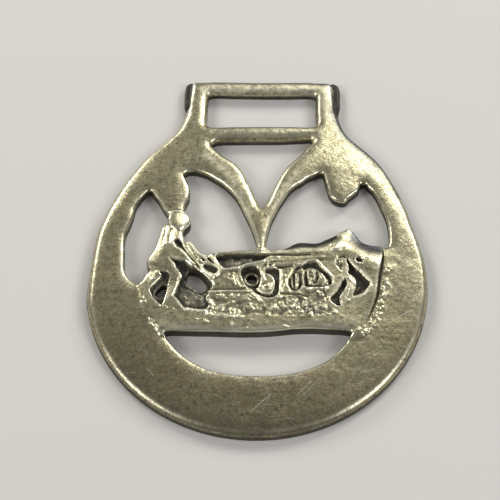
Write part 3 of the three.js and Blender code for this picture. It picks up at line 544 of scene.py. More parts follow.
# Trails of crumbs of metal: how high they stand, their size, the trail's half width, and its line.
crumbs = [
    dict(rise=0.16, size=0.55, half=0.8, seed=61, line=[(29, -7), (28.6, -10), (28.2, -13), (27.4, -16.2),
        (26.4, -19), (25, -21.6), (23.2, -23.6)]),
    dict(rise=0.20, size=0.7, half=1.5, seed=63, line=[(5, -16.8), (9, -17.2), (12, -17.8), (15, -18.2)]),
    dict(rise=0.12, size=0.6, half=1.1, seed=65, line=[(-9.4, -18.6), (-6, -18.6), (-1, -18), (3, -18.2)]),
    dict(rise=0.12, size=0.6, half=0.5, seed=67, line=[(-15, -18.5), (-11, -19.2), (-7, -20), (-3, -20.3)]),
    dict(rise=0.10, size=0.5, half=0.7, seed=69, line=[(-25, -16), (-23.6, -20), (-21.6, -23.2)]),
    dict(rise=0.12, size=0.6, half=0.7, seed=71, line=[(-9, -15), (-5, -15.2), (-1, -15.6)]),
]
crumbForm = dict(reach=3.0, power=4, level=0.12, run=0.3)

# Strokes of painted highlight, also kept bright by handling, besides what stands up: how bright, half width,
# line.
polishAndPaintedHighlights = [
    (0.9, 0.42, [(-20.4, 3.6), (-20.65, 1.8), (-20.9, 0.2), (-21.1, -1.4)]),
    (0.6, 0.36, [(-18.8, 2.4), (-19.2, 0.4), (-19.4, -1.3)]),
    (0.6, 0.42, [(-19.4, -1.3), (-18, -2.6), (-16.2, -4.2), (-14.6, -6.3)]),
    (0.7, 1.0, [(-17.4, 6), (-16.9, 4.8)]),
    (0.8, 0.36, [(-15.4, -1.4), (-14.2, -3), (-13.2, -4.2), (-11.6, -4.5)]),
    (0.9, 0.3, [(-10.3, -4.6), (-9.3, -6.2), (-8.4, -7.6), (-8.3, -8.9), (-9.4, -10), (-10.6, -9.4)]),
    (1.0, 0.3, [(-8, -8.45), (-5, -7.9), (-2.6, -7), (0.6, -6.2), (1.6, -6)]),
    (0.8, 0.45, [(-10.2, -14), (-6, -13.85), (-1.6, -13.7)]),
    (1.0, 0.6, [(-15.2, -18.4), (-11, -19), (-10.4, -19.8), (-7, -19.9), (-3.3, -20.3)]),
    (0.8, 0.4, [(-17.6, -11.8), (-18.2, -14.9), (-16.6, -17.2), (-15.6, -18.4)]),
    (0.7, 0.4, [(-19.4, -5.8), (-18, -8.4), (-16.9, -10.3)]),
    (0.9, 1.25, [(17, -2.4), (18.6, -1.6), (19.8, -0.4)]),
    (0.6, 0.5, [(6, -3), (10, -3), (14, -2.9), (17, -2.6)]),
    (0.8, 0.8, [(26.6, -6.2), (26.5, -7)]),
    (0.9, 0.36, [(25.1, -11.9), (24.2, -13.6), (22.7, -14.7), (21.2, -15.2)]),
    (0.7, 0.7, [(20.2, -11), (20.8, -13), (20, -15.6)]),
    (0.9, 1.3, [(-14, 44.6), (14, 44.8)]),
    (0.3, 1.8, [(-20, -22.4), (-8, -23), (6, -22.4), (20, -21.6)]),
    (0.6, 1.0, [(15.6, 45), (15.7, 40), (16.2, 36)]),
    (0.3, 1.2, [(-11, 31), (12, 31.4)]),
    (0.6, 1.0, [(-12.6, 24), (-7.6, 19), (-4.4, 13), (-2, 7.6)]),
    (0.3, 0.8, [(11.6, 23), (6.4, 16), (2.4, 10)]),
]

# Strokes of painted shade on edges, slopes, the lugs and the lower ring: how dark, half width, line.
paintedShadeStrokes = [
    (1.2, 0.85, [(-18, 47.2), (0, 47.3), (18, 47.2)]),
    (0.85, 0.7, [(-12.4, 32.8), (0, 33), (12.6, 33.2)]),
    (0.95, 1.9, outlineMm["shoulders"][3:13]),
    (1.15, 1.9, [(18.8, 46.6), (18.6, 42.5), (18.5, 38.2)]),
    (1.2, 1.25, [(-18.2, 46.6), (-18, 39.4)]),
    (0.75, 0.6, [(13.7, 43), (13.8, 38), (13.7, 34.2)]),
    (0.42, 3.6, [(33.4, 9), (34.6, 2), (35, -6), (33.8, -16)]),
    (0.6, 1.5, [(-22.6, 0), (-23.2, -2.5), (-24, -5), (-24.5, -7.6)]),
    (0.32, 1.3, [(22.4, -2.2), (24.4, -3.4), (26.8, -3.9)]),
    (0.42, 2.6, [(-30, -33), (-20, -41), (-9, -45.4), (0, -46.4), (9, -45.4), (18, -42.4)]),
    (0.16, 7.0, [(-33, -18), (-26, -30), (-16, -38), (0, -41), (16, -38)]),
    (1.3, 1.0, [(6.6, -2), (8.3, -1.5), (10, -1.2), (13, -1.3), (14.6, -0.6), (16.2, 0.1), (17.3, 1)]),
]

# The head is a low dome, the coat's back and the horse's back and far side fall away, and its brow swells.
head = dict(centre=(-18.05, 4.85), radius=2.55, foot=3.6, crown=0.4, lean=(-0.13, -0.07), fullness=2.6)
# Slopes: how much is added at the line, half width, reach, line.
slopes = dict(
    coatBack=(-0.25, 1.5, 5, [(-21.2, 3.9), (-21.9, 2.6), (-22.5, 0), (-23.1, -2.5), (-24, -5), (-24.7, -7),
        (-24.5, -8.2)]),
    horseBack=(-0.3, 0.9, 5, [(6.6, -2), (8.3, -1.5), (10, -1.2), (13, -1.3), (14.6, -0.6), (16.2, 0.1),
        (17.6, 1.2)]),
    horseBrow=(0.26, 2.2, 6, [(14.5, -3.2), (17.6, -3), (19.6, -2.6), (22, -3.6), (24.5, -5.2),
        (26.3, -6.8)]),
    horseFarSide=(-0.75, 2.4, 7, [(20.6, 3.4), (22.4, 1.6), (24, 0.2), (25.8, -0.8), (27.9, -1.2)]),
)

allEdge = np.vstack(loops)
allRound = np.concatenate([np.full(len(l), edgeRound[n]) for n, l in zip(loopNames, loops)])
loopEnds = np.cumsum([len(l) for l in loops])
edgeCount = len(allEdge)


# The distance to the nearest outline of all, up to a reach, and the rounding that the edge has there.
# The points go in square tiles, and each tile meets only the pieces of outline within its reach.
def edgeDistance(points, reach=8.0, tile=4.0, upTo=None, stride=4096):
    wanted = np.arange(edgeCount) < (upTo or edgeCount)
    way = np.vstack([np.roll(l, -1, 0) for l in loops]) - allEdge
    size = np.maximum((way ** 2).sum(1), 1e-12)
    gap = np.full(len(points), reach)
    rounding = np.full(len(points), 1.0)
    cell = np.floor(points / tile).astype(int)
    key = cell[:, 0] * stride + cell[:, 1]
    order = np.argsort(key, kind="stable")
    for some in np.split(order, np.flatnonzero(np.diff(key[order])) + 1):
        low = cell[some[0]] * tile
        e = wanted & np.all((allEdge > low - reach) & (allEdge < low + tile + reach), axis=1)
        if not e.any():
            continue
        part = points[some][:, None, :] - allEdge[e][None]
        t = np.clip((part * way[e][None]).sum(2) / size[e][None], 0, 1)
        d = ((part - t[:, :, None] * way[e][None]) ** 2).sum(2)
        best = d.argmin(1)
        gap[some] = np.minimum(np.sqrt(d[np.arange(len(best)), best]), reach)
        rounding[some] = allRound[e][best]
    return gap, rounding


# A quarter circle: how far the surface has fallen at a distance from the edge, which is the radius
# less the root of the radius squared less the rest of the way squared.
def roundFall(gap, radius):
    t = radius - np.clip(gap, 0, radius)
    return radius - np.sqrt(np.maximum(radius ** 2 - t ** 2, 0))


# How deep a point is inside the field's edge.
def fieldDepth(points):
    return depthIn(points, smoothLoop(field["edge"], field["step"]), field["reach"])


# Where the crumbs of one trail stand: the crests of a noise, fading out from the trail's line.
def crumbShare(points, c):
    f = crumbForm
    trail = bell(points, c["line"], c["half"], f["reach"], f["power"])
    return trail * step((noise(points, c["size"], c["seed"], 2) - f["level"]) / f["run"])


# The plate alone: its front, plus the sway and ripple, less a square fall to its edges and to the outside.
def plateHeight(points, gap):
    x, y = points.T
    p = plate
    z = p["front"] + p["sway"] * noise(points, p["swaySize"], p["swaySeed"], 2) * p["swayShare"]
    z += p["ripple"] * noise(points, p["rippleSize"], p["rippleSeed"], 3)
    up = step((y - p["hangerFrom"]) / (p["hangerTo"] - p["hangerFrom"]))
    reach = p["fallReach"] + (p["hangerReach"] - p["fallReach"]) * up
    bars = step((p["barHalf"] - np.abs(x)) / p["barFade"]) * up  # the two bars are flatter than the posts
    fall = p["fall"] + (p["hangerFall"] - p["fall"]) * up * (1 - p["barFlat"] * bars)
    z -= fall * (1 - np.minimum(gap / reach, 1)) ** 2
    outer = edgeDistance(points, p["domeReach"], p["domeTile"], loopEnds[0])[0]
    shoulder = p["shoulderDome"] * step((y - p["shoulderFrom"]) / p["shoulderRun"])
    shoulder = shoulder * (1 - p["hangerDome"] * up)
    dome = p["dome"] + shoulder + p["footDome"] * step((p["footFrom"] - y) / p["footRun"])
    z -= dome * (1 - outer / p["domeReach"]) ** 2
    return z


# How far a point is onto the field, a smooth step of its depth over the softness, and the share of the
# field's rise that it has, which grows to the right and shrinks in the corner.
def fieldShares(points):
    x, y = points.T
    f = field
    corner = step((x - f["cornerX"]) / f["cornerRun"]) * step((f["cornerY"] - y) / f["cornerDrop"])
    onField = step(fieldDepth(points) / (f["soft"] + f["cornerSoft"] * corner) + 0.5)
    right = step((x - f["leftEnd"]) / f["leftRun"] + np.maximum(y - f["armFrom"], 0) * f["armShare"])
    return onField, (f["leftShare"] + f["fullShare"] * right) * (1 - f["cornerFall"] * corner)


# Seams and grooves take a bell off the height. Rough ground takes its drop less the noise of its clods.
# A hollow brings the height down to its leaning floor, and a small lip stands round it.
def sunkHeight(points, z):
    f, g, h = field, groundForm, hollowForm
    fade = step((points[:, 1] - f["creaseFoot"]) / f["creaseRun"])
    for width, depth, line in f["creases"]:
        z -= depth * fade * bell(points, line, width)
    for ground in grounds.values():
        t = step(depthIn(points, smoothLoop(ground["line"], g["step"])) / ground["wall"])
        clod = noise(points, ground["size"], g["seed"], 3)
        z -= t * (ground["drop"] - ground["rough"] * (clod + g["crests"] * np.abs(clod)))
    rough = h["rough"] * noise(points, h["size"], h["seed"], 3)
    for hollow in hollows.values():
        outline = smoothLoop(hollow["line"], h["step"])
        d = depthIn(points, outline)
        t = step(d / hollow["wall"])
        floor = hollow["floor"] + (points - outline.mean(0)) @ np.array(hollow["lean"]) + rough
        z = z * (1 - t) + np.minimum(z, floor) * t
        z += h["lip"] * np.exp(-((d + h["lipAway"]) / h["lipHalf"]) ** 2)
    for width, depth, line in grooves:
        z -= depth * bell(points, line, width)
    return z


# A ridge's crest is the worn surface plus its rise, less a bend times the square of the distance.
# A facet is a leaning plane, crumbs are shares of a rise, and a lump is a round bell.
def raisedHeight(points, z, worn):
    x, y = points.T
    f, h = ridgeForm, smallHole
    sway = noise(points, f["size"], f["seed"], 2)
    for rise, half, line in ridges.values():
        d = nearLine(points, line, f["reach"]) / half
        crest = worn + rise + f["sway"] * sway - f["bend"] * d ** 2
        z = np.where(d < f["end"], np.maximum(z, crest), z)
    for a in facets.values():
        outline = smoothLoop(a["line"], facetForm["step"])
        t = step(depthIn(points, outline) / a["soft"] + facetForm["start"])
        z = z * (1 - t) + (a["top"] + (points - outline.mean(0)) @ np.array(a["lean"])) * t
    for c in crumbs:
        z += c["rise"] * crumbShare(points, c)
    for cx, cy, radius, rise in lumps:
        z += lumpShare * rise * np.exp(-((x - cx) ** 2 + (y - cy) ** 2) / radius ** 2)
    # the ring round the small hole is a crest that bends down to both sides of its radius
    r = np.hypot(x - h["ringCentre"][0], y - h["ringCentre"][1])
    ring = h["ringTop"] - h["ringFall"] * (r - h["ringRadius"]) ** 2
    return np.maximum(z, ring - np.where(r > h["ringEnd"], farAway, 0))


# The head's dome is its foot plus the crown times the root of one less the radius share to its fullness.
def headHeight(points, z):
    x, y = points.T
    hx, hy = head["centre"]
    r = np.hypot(x - hx, y - hy) / head["radius"]
    dome = head["foot"] + head["crown"] * np.sqrt(np.maximum(1 - r ** head["fullness"], 0))
    dome = dome + head["lean"][0] * (x - hx) + head["lean"][1] * (y - hy)
    return np.where(r < 1, np.maximum(z, dome), z)


# The back of the top bar stands out past the posts as lugs, below the worn front: a lug is its top less
# a share of its own rounding and less a seam beside the post.
def lugHeight(points, z, gap):
    x, y = points.T
    p = plate
    ys, half = np.array(p["postEdge"]).T
    beyond = np.interp(y, ys, half) - np.abs(x)
    atTop = y > p["lugFrom"]
    post = z - np.where(beyond < p["postRound"], roundFall(np.maximum(beyond, 0), p["postRound"]), 0)
    seam = p["lugSeam"] * np.exp(-(np.maximum(-beyond, 0) / p["lugSeamHalf"]) ** 2)
    lug = p["lugTop"] - p["lugFall"] * roundFall(gap, p["lugRound"]) - seam
    blend = step((y - p["lugFrom"]) / p["lugFade"])
    post = z * (1 - blend) + post * blend
    lug = np.minimum(z, np.maximum(lug, p["lowest"]))
    return np.where(atTop & (beyond < 0), lug, np.where(atTop, np.minimum(z, post), z))


# The height of the front: the swaying plate, plus the field, less its hollows, plus the strokes and lumps,
# the head and the slopes, and last the fall of the rounded edges.
def frontHeight(points, gap, rounding):
    z = plateHeight(points, gap)
    onField, high = fieldShares(points)
    z += field["rise"] * high * onField
    z = raisedHeight(points, sunkHeight(points, z.copy()), z)
    z = headHeight(points, z)
    for more, half, reach, line in slopes.values():
        z += more * bell(points, line, half, reach) * onField
    z -= roundFall(gap, rounding)
    return np.maximum(lugHeight(points, z, gap), plate["lowest"])


# The casting's mesh is a triangulated front and back on the same outlines, joined by walls.
meshSizes = dict(
    ringStep=0.7, seed=7, cell=0.1,
    # rows along the edges, in shares of the rounding
    strips=(0.10, 0.26, 0.5, 0.78, 1.0), clear=0.93, sparse=0.7,
    fieldStep=0.21, fieldBox=((-29, -26.5), (30, 8.2)), fieldGap=1.0, rightGap=1.4, rightFrom=18,
    hollowStep=0.22, strokeStep=0.2, grooveHalf=1.4, wide=0.2, wideRows=(0.0, 0.55, 1.1), thinRows=(0.0, 1.0),
    edgeGap=0.12, backRound=0.35, backBevel=0.3, backStep=3.0, backGap=1.6, wallPaintedShadeShare=0.55, wallMore=0.2,
)


# Points in rows of even triangles, each moved at random by up to an eighth of the step.
def hexGrid(low, high, size, rng, rowShare=0.866, jitter=0.25):
    ny = int((high[1] - low[1]) / (size * rowShare)) + 1
    nx = int((high[0] - low[0]) / size) + 1
    gx, gy = np.meshgrid(np.arange(nx), np.arange(ny))
    pts = np.c_[(gx + 0.5 * (gy % 2)).ravel() * size + low[0], gy.ravel() * size * rowShare + low[1]]
    return pts + (rng.random(pts.shape) - 0.5) * size * jitter


# True where a point is inside the first loop and outside all others.
def inMetal(points, edgeLoops):
    keep = inside(points, edgeLoops[0])
    for loop in edgeLoops[1:]:
        near = inBox(points, loop, 0)
        keep[near] &= ~inside(points[near], loop)
    return keep


# Joins the points into triangles that fill the metal, with the outlines as edges.
def fill(edgeLoops, innerPoints, tolerance=1e-6):
    edgePoints = np.vstack(edgeLoops)
    links = []
    start = 0
    for loop in edgeLoops:
        n = len(loop)
        links += [(start + i, start + (i + 1) % n) for i in range(n)]
        start += n
    points = np.vstack([edgePoints, innerPoints])
    flat, _, faces, _, _, _ = delaunay_2d_cdt([Vector(p) for p in points.tolist()], links, [], 1, tolerance)
    flat = np.array([tuple(v) for v in flat])
    faces = np.array(faces)
    if len(flat) != len(points):
        print("warning: the triangulation changed the number of points", len(points), len(flat))
    # only a triangle with all corners on outlines can lie in a hole
    onEdge = (faces < len(edgePoints)).all(1)
    middle = flat[faces].mean(1)
    keep = np.ones(len(faces), bool)
    keep[onEdge] = inMetal(middle[onEdge], edgeLoops)
    a, b, c = flat[faces[:, 0]], flat[faces[:, 1]], flat[faces[:, 2]]
    turn = (b[:, 0] - a[:, 0]) * (c[:, 1] - a[:, 1]) - (b[:, 1] - a[:, 1]) * (c[:, 0] - a[:, 0])
    faces[turn < 0] = faces[turn < 0][:, ::-1]
    return flat, faces[keep]


# Points along a line at equal steps, moved aside to both sides by the same distance.
def besideLine(line, aside, step):
    line = np.array(line, float)
    run = np.r_[0, np.cumsum(np.hypot(*np.diff(line, axis=0).T))]
    at = np.linspace(0, run[-1], max(3, int(run[-1] / step)))
    mid = np.c_[np.interp(at, run, line[:, 0]), np.interp(at, run, line[:, 1])]
    way = np.gradient(mid, axis=0)
    across = np.c_[-way[:, 1], way[:, 0]] / np.maximum(np.hypot(*way.T), 1e-9)[:, None]
    return [mid + across * aside, mid - across * aside] if aside else [mid]


# Drops points that share a small square cell with an earlier one.
def thin(points, cell, stride=100003):
    key = np.round(points / cell).astype(np.int64)
    _, first = np.unique(key[:, 0] * stride + key[:, 1], return_index=True)
    return points[np.sort(first)]


# Rows of points along every outline, each a share of its rounding further in.
# A point that came nearer to some other outline is dropped.
def edgeStrips(s):
    rows = []
    for name, loop in zip(loopNames, loops):
        normal = inward(loop)
        for share in s["strips"]:
            away = share * edgeRound[name]
            every = 2 if share > s["sparse"] and name == "outside" else 1
            rows.append(((loop + normal * away)[::every], away))
    strips = np.vstack([r for r, _ in rows])
    away = np.concatenate([np.full(len(r), a) for r, a in rows])
    gap, _ = edgeDistance(strips)
    return strips[(gap > away * s["clear"]) & inMetal(strips, loops)]


# Points along the rims and feet of the hollows' walls, and along both sides of every stroke.
def carvedPoints(s):
    carved = []
    for h in hollows.values():
        loop = smoothLoop(h["line"], s["hollowStep"])
        loop = loop if area(loop) > 0 else loop[::-1]
        carved += [loop, loop + inward(loop) * h["wall"]]
    strokes = [(s["grooveHalf"] * width, line) for width, _, line in field["creases"] + grooves]
    strokes += [(half, line) for _, half, line in ridges.values()]
    for half, line in strokes:
        for share in s["wideRows"] if half > s["wide"] else s["thinRows"]:
            carved += besideLine(line, share * half, s["strokeStep"])
    return np.vstack(carved)


# The front's inner points: edge rows, carved points, a fine grid on the field and a coarse one round it.
def frontPoints(s):
    rng = np.random.default_rng(s["seed"])
    coarse = hexGrid(allEdge.min(0), allEdge.max(0), s["ringStep"], rng)
    fine = hexGrid(*s["fieldBox"], s["fieldStep"], rng)
    nearField = lambda p: fieldDepth(p) > -s["fieldGap"] - s["rightGap"] * (p[:, 0] > s["rightFrom"])
    inner = np.vstack([carvedPoints(s), fine[nearField(fine)], coarse[~nearField(coarse)]])
    inner = inner[inMetal(inner, loops)]
    gap, rounding = edgeDistance(inner)
    inner = inner[gap > rounding + s["edgeGap"]]
    return thin(np.vstack([edgeStrips(s), inner]), s["cell"])


# The casting's corners and triangles: the front with its height, rings of corners down the walls, which are
# the outlines moved in along their normals at the back's small rounding, and the flat back turned over.
def makeCasting(s):
    front, frontFaces = fill(loops, frontPoints(s))
    gap, rounding = edgeDistance(front)
    gap[:edgeCount] = 0
    top = frontHeight(front, gap, rounding)
    print("front:", len(front), "points,", len(frontFaces), "triangles")
    normals = np.vstack([inward(l) for l in loops])
    r = s["backRound"]
    low = s["backBevel"] * r
    levels = [(0.0, top[:edgeCount] * s["wallPaintedShadeShare"] + s["wallMore"]), (0.0, np.full(edgeCount, r)),
              (low, np.full(edgeCount, low)), (r, np.zeros(edgeCount))]
    rings = [np.c_[allEdge + normals * inset, z] for inset, z in levels]
    backLoops = np.split(rings[-1][:, :2], loopEnds[:-1])
    rng = np.random.default_rng(s["seed"] + 1)
    grid = hexGrid(allEdge.min(0), allEdge.max(0), s["backStep"], rng)
    grid = grid[inMetal(grid, loops)]
    grid = grid[edgeDistance(grid)[0] > s["backGap"]]
    back, backFaces = fill(backLoops, grid)
    count = len(front)
    verts = [np.c_[front, top]] + rings[:-1] + [np.c_[back, np.zeros(len(back))]]
    starts = [count + i * edgeCount for i in range(len(rings))]
    faces = [frontFaces]
    upper = np.arange(edgeCount)
    # the corner that follows each one on its own loop
    firsts = np.r_[0, loopEnds[:-1]]
    follow = np.concatenate([np.r_[np.arange(a + 1, b), a] for a, b in zip(firsts, loopEnds)])
    for base in starts:
        lower = base + np.arange(edgeCount)
        nextUpper, nextLower = upper[follow], lower[follow]
        faces.append(np.c_[upper, lower, nextLower])
        faces.append(np.c_[upper, nextLower, nextUpper])
        upper = lower
    faces.append(backFaces[:, ::-1] + starts[-1])
    return np.vstack(verts), np.vstack(faces), count


verts, faces, frontCount = makeCasting(meshSizes)
print("casting:", len(verts), "points,", len(faces), "triangles")

# How worn or sunk each place is, from the height and its blurred copies on a raster, in millimetres.
wear = dict(
    cell=0.3, nearBlur=0.55, farBlur=1.6, pad=3.0, outsideHeight=1.6,
    edgeReach=0.9, edgeRise=0.6, edgeSunk=0.8,  # near an edge both count less
    fullRise=0.22, fullSunk=0.9, cleanRun=1.6,
)


# Gaussian blur of a raster: each frequency times e to minus twice the square of pi, sigma and frequency.
def blur(raster, sigma):
    fy = np.fft.fftfreq(raster.shape[0])[:, None]
    fx = np.fft.rfftfreq(raster.shape[1])[None]
    keep = np.exp(-2 * (np.pi * sigma) ** 2 * (fx ** 2 + fy ** 2))
    return np.fft.irfft2(np.fft.rfft2(raster) * keep, s=raster.shape)


# The raster's value at each point, blended from its four nearest cells by how near the point is to each.
def sample(raster, low, cell, points):
    q = (points - low) / cell
    i = np.clip(np.floor(q).astype(int), 0, np.array(raster.shape[::-1]) - 2)
    f = q - i
    a = raster[i[:, 1], i[:, 0]] * (1 - f[:, 0]) + raster[i[:, 1], i[:, 0] + 1] * f[:, 0]
    b = raster[i[:, 1] + 1, i[:, 0]] * (1 - f[:, 0]) + raster[i[:, 1] + 1, i[:, 0] + 1] * f[:, 0]
    return a * (1 - f[:, 1]) + b * f[:, 1]


# The rise is the height less its near blur, and the depth is its far blur less the height,
# both over what counts as full.
def wearAndDepth(w):
    low = allEdge.min(0) - w["pad"]
    high = allEdge.max(0) + w["pad"]
    nx, ny = ((high - low) / w["cell"]).astype(int) + 1
    gx, gy = np.meshgrid(low[0] + np.arange(nx) * w["cell"], low[1] + np.arange(ny) * w["cell"])
    grid = np.c_[gx.ravel(), gy.ravel()]
    metal = inMetal(grid, loops)
    gap, rounding = edgeDistance(grid[metal])
    height = np.full(len(grid), w["outsideHeight"])
    height[metal] = frontHeight(grid[metal], gap, rounding)
    height = height.reshape(ny, nx)
    near, far = (blur(height, w[key] / w["cell"]) for key in ("nearBlur", "farBlur"))
    spots = verts[:, :2]
    z = verts[:, 2]
    rise = z - sample(near, low, w["cell"], spots)
    sunk = sample(far, low, w["cell"], spots) - z
    atEdge = np.exp(-(edgeDistance(spots)[0] / w["edgeReach"]) ** 2)
    rise *= 1 - w["edgeRise"] * atEdge
    sunk *= 1 - w["edgeSunk"] * atEdge
    return np.clip(rise / w["fullRise"], -1, 1), np.clip(sunk / w["fullSunk"], -1, 1)


# Where the patina is dark or shade is painted, where strokes are kept bright with painted highlights, and
# where a bluish-grey reflection is painted: shares, half widths and reaches in millimetres.
patina = dict(
    hollow=0.85, hollowStart=0.1, step=0.3, clods=0.8, clodRun=0.8, clodSize=0.9, clodSeed=73, clodLevel=0.05,
    clodFade=0.3,
    crumbs=0.75, paintedShadeReach=9, paintedHighlightReach=4, power=4,
    # the neck and the bevel carry the painted bluish-grey reflection
    neck=1.3, neckHalf=3.3, neckFrom=20.0, neckRun=1.6, bevel=0.8, bevelHalf=2.3, farReach=5,
    # the walls and the rims above them carry painted shade
    wall=2.0, outsideWall=0.9, rim=0.15,  # the rim is a share of the wall below it
)


# The largest share that any of the strokes gives: its own share times a flat bell round its line.
def strokeShare(points, strokes, reach):
    share = np.zeros(len(points))
    for most, half, line in strokes:
        share = np.maximum(share, most * bell(points, line, half, reach, patina["power"]))
    return share


# How dark it is: patina in the hollows and in patches among the clods, and painted shade along the shade
# strokes.
def patinaAndPaintedShadeShare(points):
    p = patina
    share = strokeShare(points, paintedShadeStrokes, p["paintedShadeReach"])
    for h in hollows.values():
        d = depthIn(points, smoothLoop(h["line"], p["step"]))
        share = np.maximum(share, step(d / h["wall"] + p["hollowStart"]) * h.get("dark", p["hollow"]))
    clods = step(depthIn(points, smoothLoop(grounds["clods"]["line"], groundForm["step"])) / p["clodRun"])
    patches = step((noise(points, p["clodSize"], p["clodSeed"], 2) + p["clodLevel"]) / p["clodFade"])
    return np.maximum(share, p["clods"] * clods * patches)


# How bright the strokes and the crumbs are, worn bright and with painted highlights, falling off softly from
# their lines.
def polishAndPaintedHighlightShare(points):
    share = strokeShare(points, polishAndPaintedHighlights, patina["paintedHighlightReach"])
    for c in crumbs:
        share = np.maximum(share, patina["crumbs"] * crumbShare(points, c))
    return share


# The far side of the horse's neck and the right shoulder's bevel, which have a painted dark bluish-grey
# reflection.
def paintedReflectionShare(points, clean):
    p = patina
    neck = step(p["neck"] - nearLine(points, slopes["horseFarSide"][-1], p["farReach"]) / p["neckHalf"])
    neck = neck * step((points[:, 0] - p["neckFrom"]) / p["neckRun"]) * clean
    bevel = bell(points, outlineMm["shoulders"][5:19], p["bevelHalf"], p["farReach"], p["power"])
    return np.maximum(neck, p["bevel"] * bevel)


# The walls carry painted shade: those of the windows and holes have the full value and the outer wall less,
# the rims above them a small share of it, and the front and back nought.
def wallPaintedShadeShare():
    p = patina
    share = np.zeros(len(verts))
    along = np.full(edgeCount, p["wall"])
    along[:loopEnds[0]] = p["outsideWall"]
    share[:edgeCount] = along / p["wall"] * p["rim"]
    share[frontCount:frontCount + 2 * edgeCount] = np.tile(along, 2)
    return share


# The values that the material reads at each corner. Only the front has wear, patina, painted shade, painted
# highlights and a painted reflection of its own; the walls have painted shade.
def makeLayers():
    spots = verts[:, :2]
    rise, sunk = wearAndDepth(wear)
    clean = step(fieldDepth(spots) / wear["cleanRun"] + 0.5)
    # the hollow layer is patina and painted shade, the bright strokes' layer polish and painted highlight,
    # and the far layer a painted bluish-grey reflection
    front = dict(rise=rise, sunk=sunk, hollow=patinaAndPaintedShadeShare(spots), polishAndPaintedHighlight=polishAndPaintedHighlightShare(spots),
                 far=paintedReflectionShare(spots, clean))
    for values in front.values():
        values[frontCount:] = 0
    return dict(front, wall=wallPaintedShadeShare(), clean=clean)


layers = makeLayers()
print("wear worked out")


# A mesh from whole arrays: corners, three corner numbers a triangle, and layers with a value a corner.
def makeMesh(name, points, triangles, layers):
    count = len(triangles)
    mesh = bpy.data.meshes.new(name)
    mesh.vertices.add(len(points))
    mesh.vertices.foreach_set("co", (points * mm).astype(np.float32).ravel())
    mesh.loops.add(count * 3)
    mesh.loops.foreach_set("vertex_index", triangles.astype(np.int32).ravel())
    mesh.polygons.add(count)
    mesh.polygons.foreach_set("loop_start", np.arange(0, count * 3, 3, dtype=np.int32))
    mesh.polygons.foreach_set("loop_total", np.full(count, 3, dtype=np.int32))
    mesh.update(calc_edges=True)
    mesh.polygons.foreach_set("use_smooth", np.ones(count, dtype=bool))
    for key, values in layers.items():
        layer = mesh.attributes.new(key, "FLOAT", "POINT")
        layer.data.foreach_set("value", values.astype(np.float32))
    mesh.validate()
    piece = bpy.data.objects.new(name, mesh)
    bpy.context.scene.collection.objects.link(piece)
    return piece


casting = makeMesh("brassCasting", verts, faces, layers)

# Old brass: worn pale on what stands up, brown in the flats, nearly black in the hollows, with painted shade,
# painted highlights and a painted bluish-grey reflection.
brassLook = dict(
    pale=(0.78, 0.745, 0.49), olive=(0.54, 0.495, 0.315), brown=(0.385, 0.325, 0.205),
    # the last tone on the next line is a painted dark bluish-grey reflection
    deep=(0.27, 0.225, 0.145), freed=(0.86, 0.82, 0.54), paintedReflectionBlue=(0.10, 0.11, 0.14),
    # the near black on the next line is grime and painted shade, and the dark after it patina, pits and
    # painted shade
    bright=(0.98, 0.95, 0.74), grimeAndShadeBlack=(0.030, 0.030, 0.026), shade=(0.105, 0.108, 0.102),
    roughness=0.31, grimeRoughness=0.55, brightRoughness=0.30, strokedRoughness=0.48,
    # the foot of the crescent and its left side are darker and browner: the change for each metre up and to
    # the right
    toneUp=-14.0, toneRight=-6.0, fieldClean=0.55, brownGain=1.7, brownFrom=0.75,
    # how much of the painted reflection is laid on, and how much grime and painted shade take off the metal
    paintedReflectionMix=0.92, lineShare=0.9, strokeClears=0.8, shadeRoughness=0.5, grimeAndShadeOnMetal=0.5,
    # noises: scale, detail, roughness
    cloud=(45.0, 3.0, 0.55), blotch=(160.0, 4.0, 0.6), swell=(420.0, 2.0, 0.55), mottle=(620.0, 3.0, 0.65),
    speck=(1100.0, 2.0, 0.6), fine=(3200.0, 2.0, 0.6), pitScale=540.0,
    # the grain's shares of its four noises, and the bump's strength and depth in metres
    grain=dict(speck=0.7, fine=0.3, swell=1.6, blotch=1.8), bump=0.3, bumpDepth=0.00016,
    # hairlines: direction in degrees, scale across and along, and the level that only crests pass
    hairlines=[(38.0, 4600.0, 150.0, 0.64), (58.0, 5200.0, 200.0, 0.65), (-14.0, 4800.0, 220.0, 0.68)],
    # single scratches on the crescent: both ends in millimetres, and half the width
    scratches=[
        ((-0.4, -42.3), (3.6, -38.4), 0.17), ((9, -38.6), (12, -35.2), 0.15),
        ((9.8, -38.9), (12.6, -35.9), 0.10), ((22.5, -33), (25.2, -32.2), 0.14),
        ((21.4, -35.6), (23.2, -35), 0.12), ((8.6, -32.6), (10, -32.9), 0.14),
        ((-22.4, -32.9), (-21.3, -34.4), 0.16), ((31.5, -19), (34, -17.6), 0.15),
        ((-17, 21.4), (-16.6, 24), 0.16), ((-14.9, 22), (-14.6, 24.2), 0.14),
        ((20.6, -27.4), (23.4, -25.4), 0.10), ((24, -28.6), (27.2, -26.6), 0.10),
        ((22.8, -30.2), (26.4, -28.4), 0.09), ((2.6, -40.4), (3.4, -39), 0.10),
    ],
)

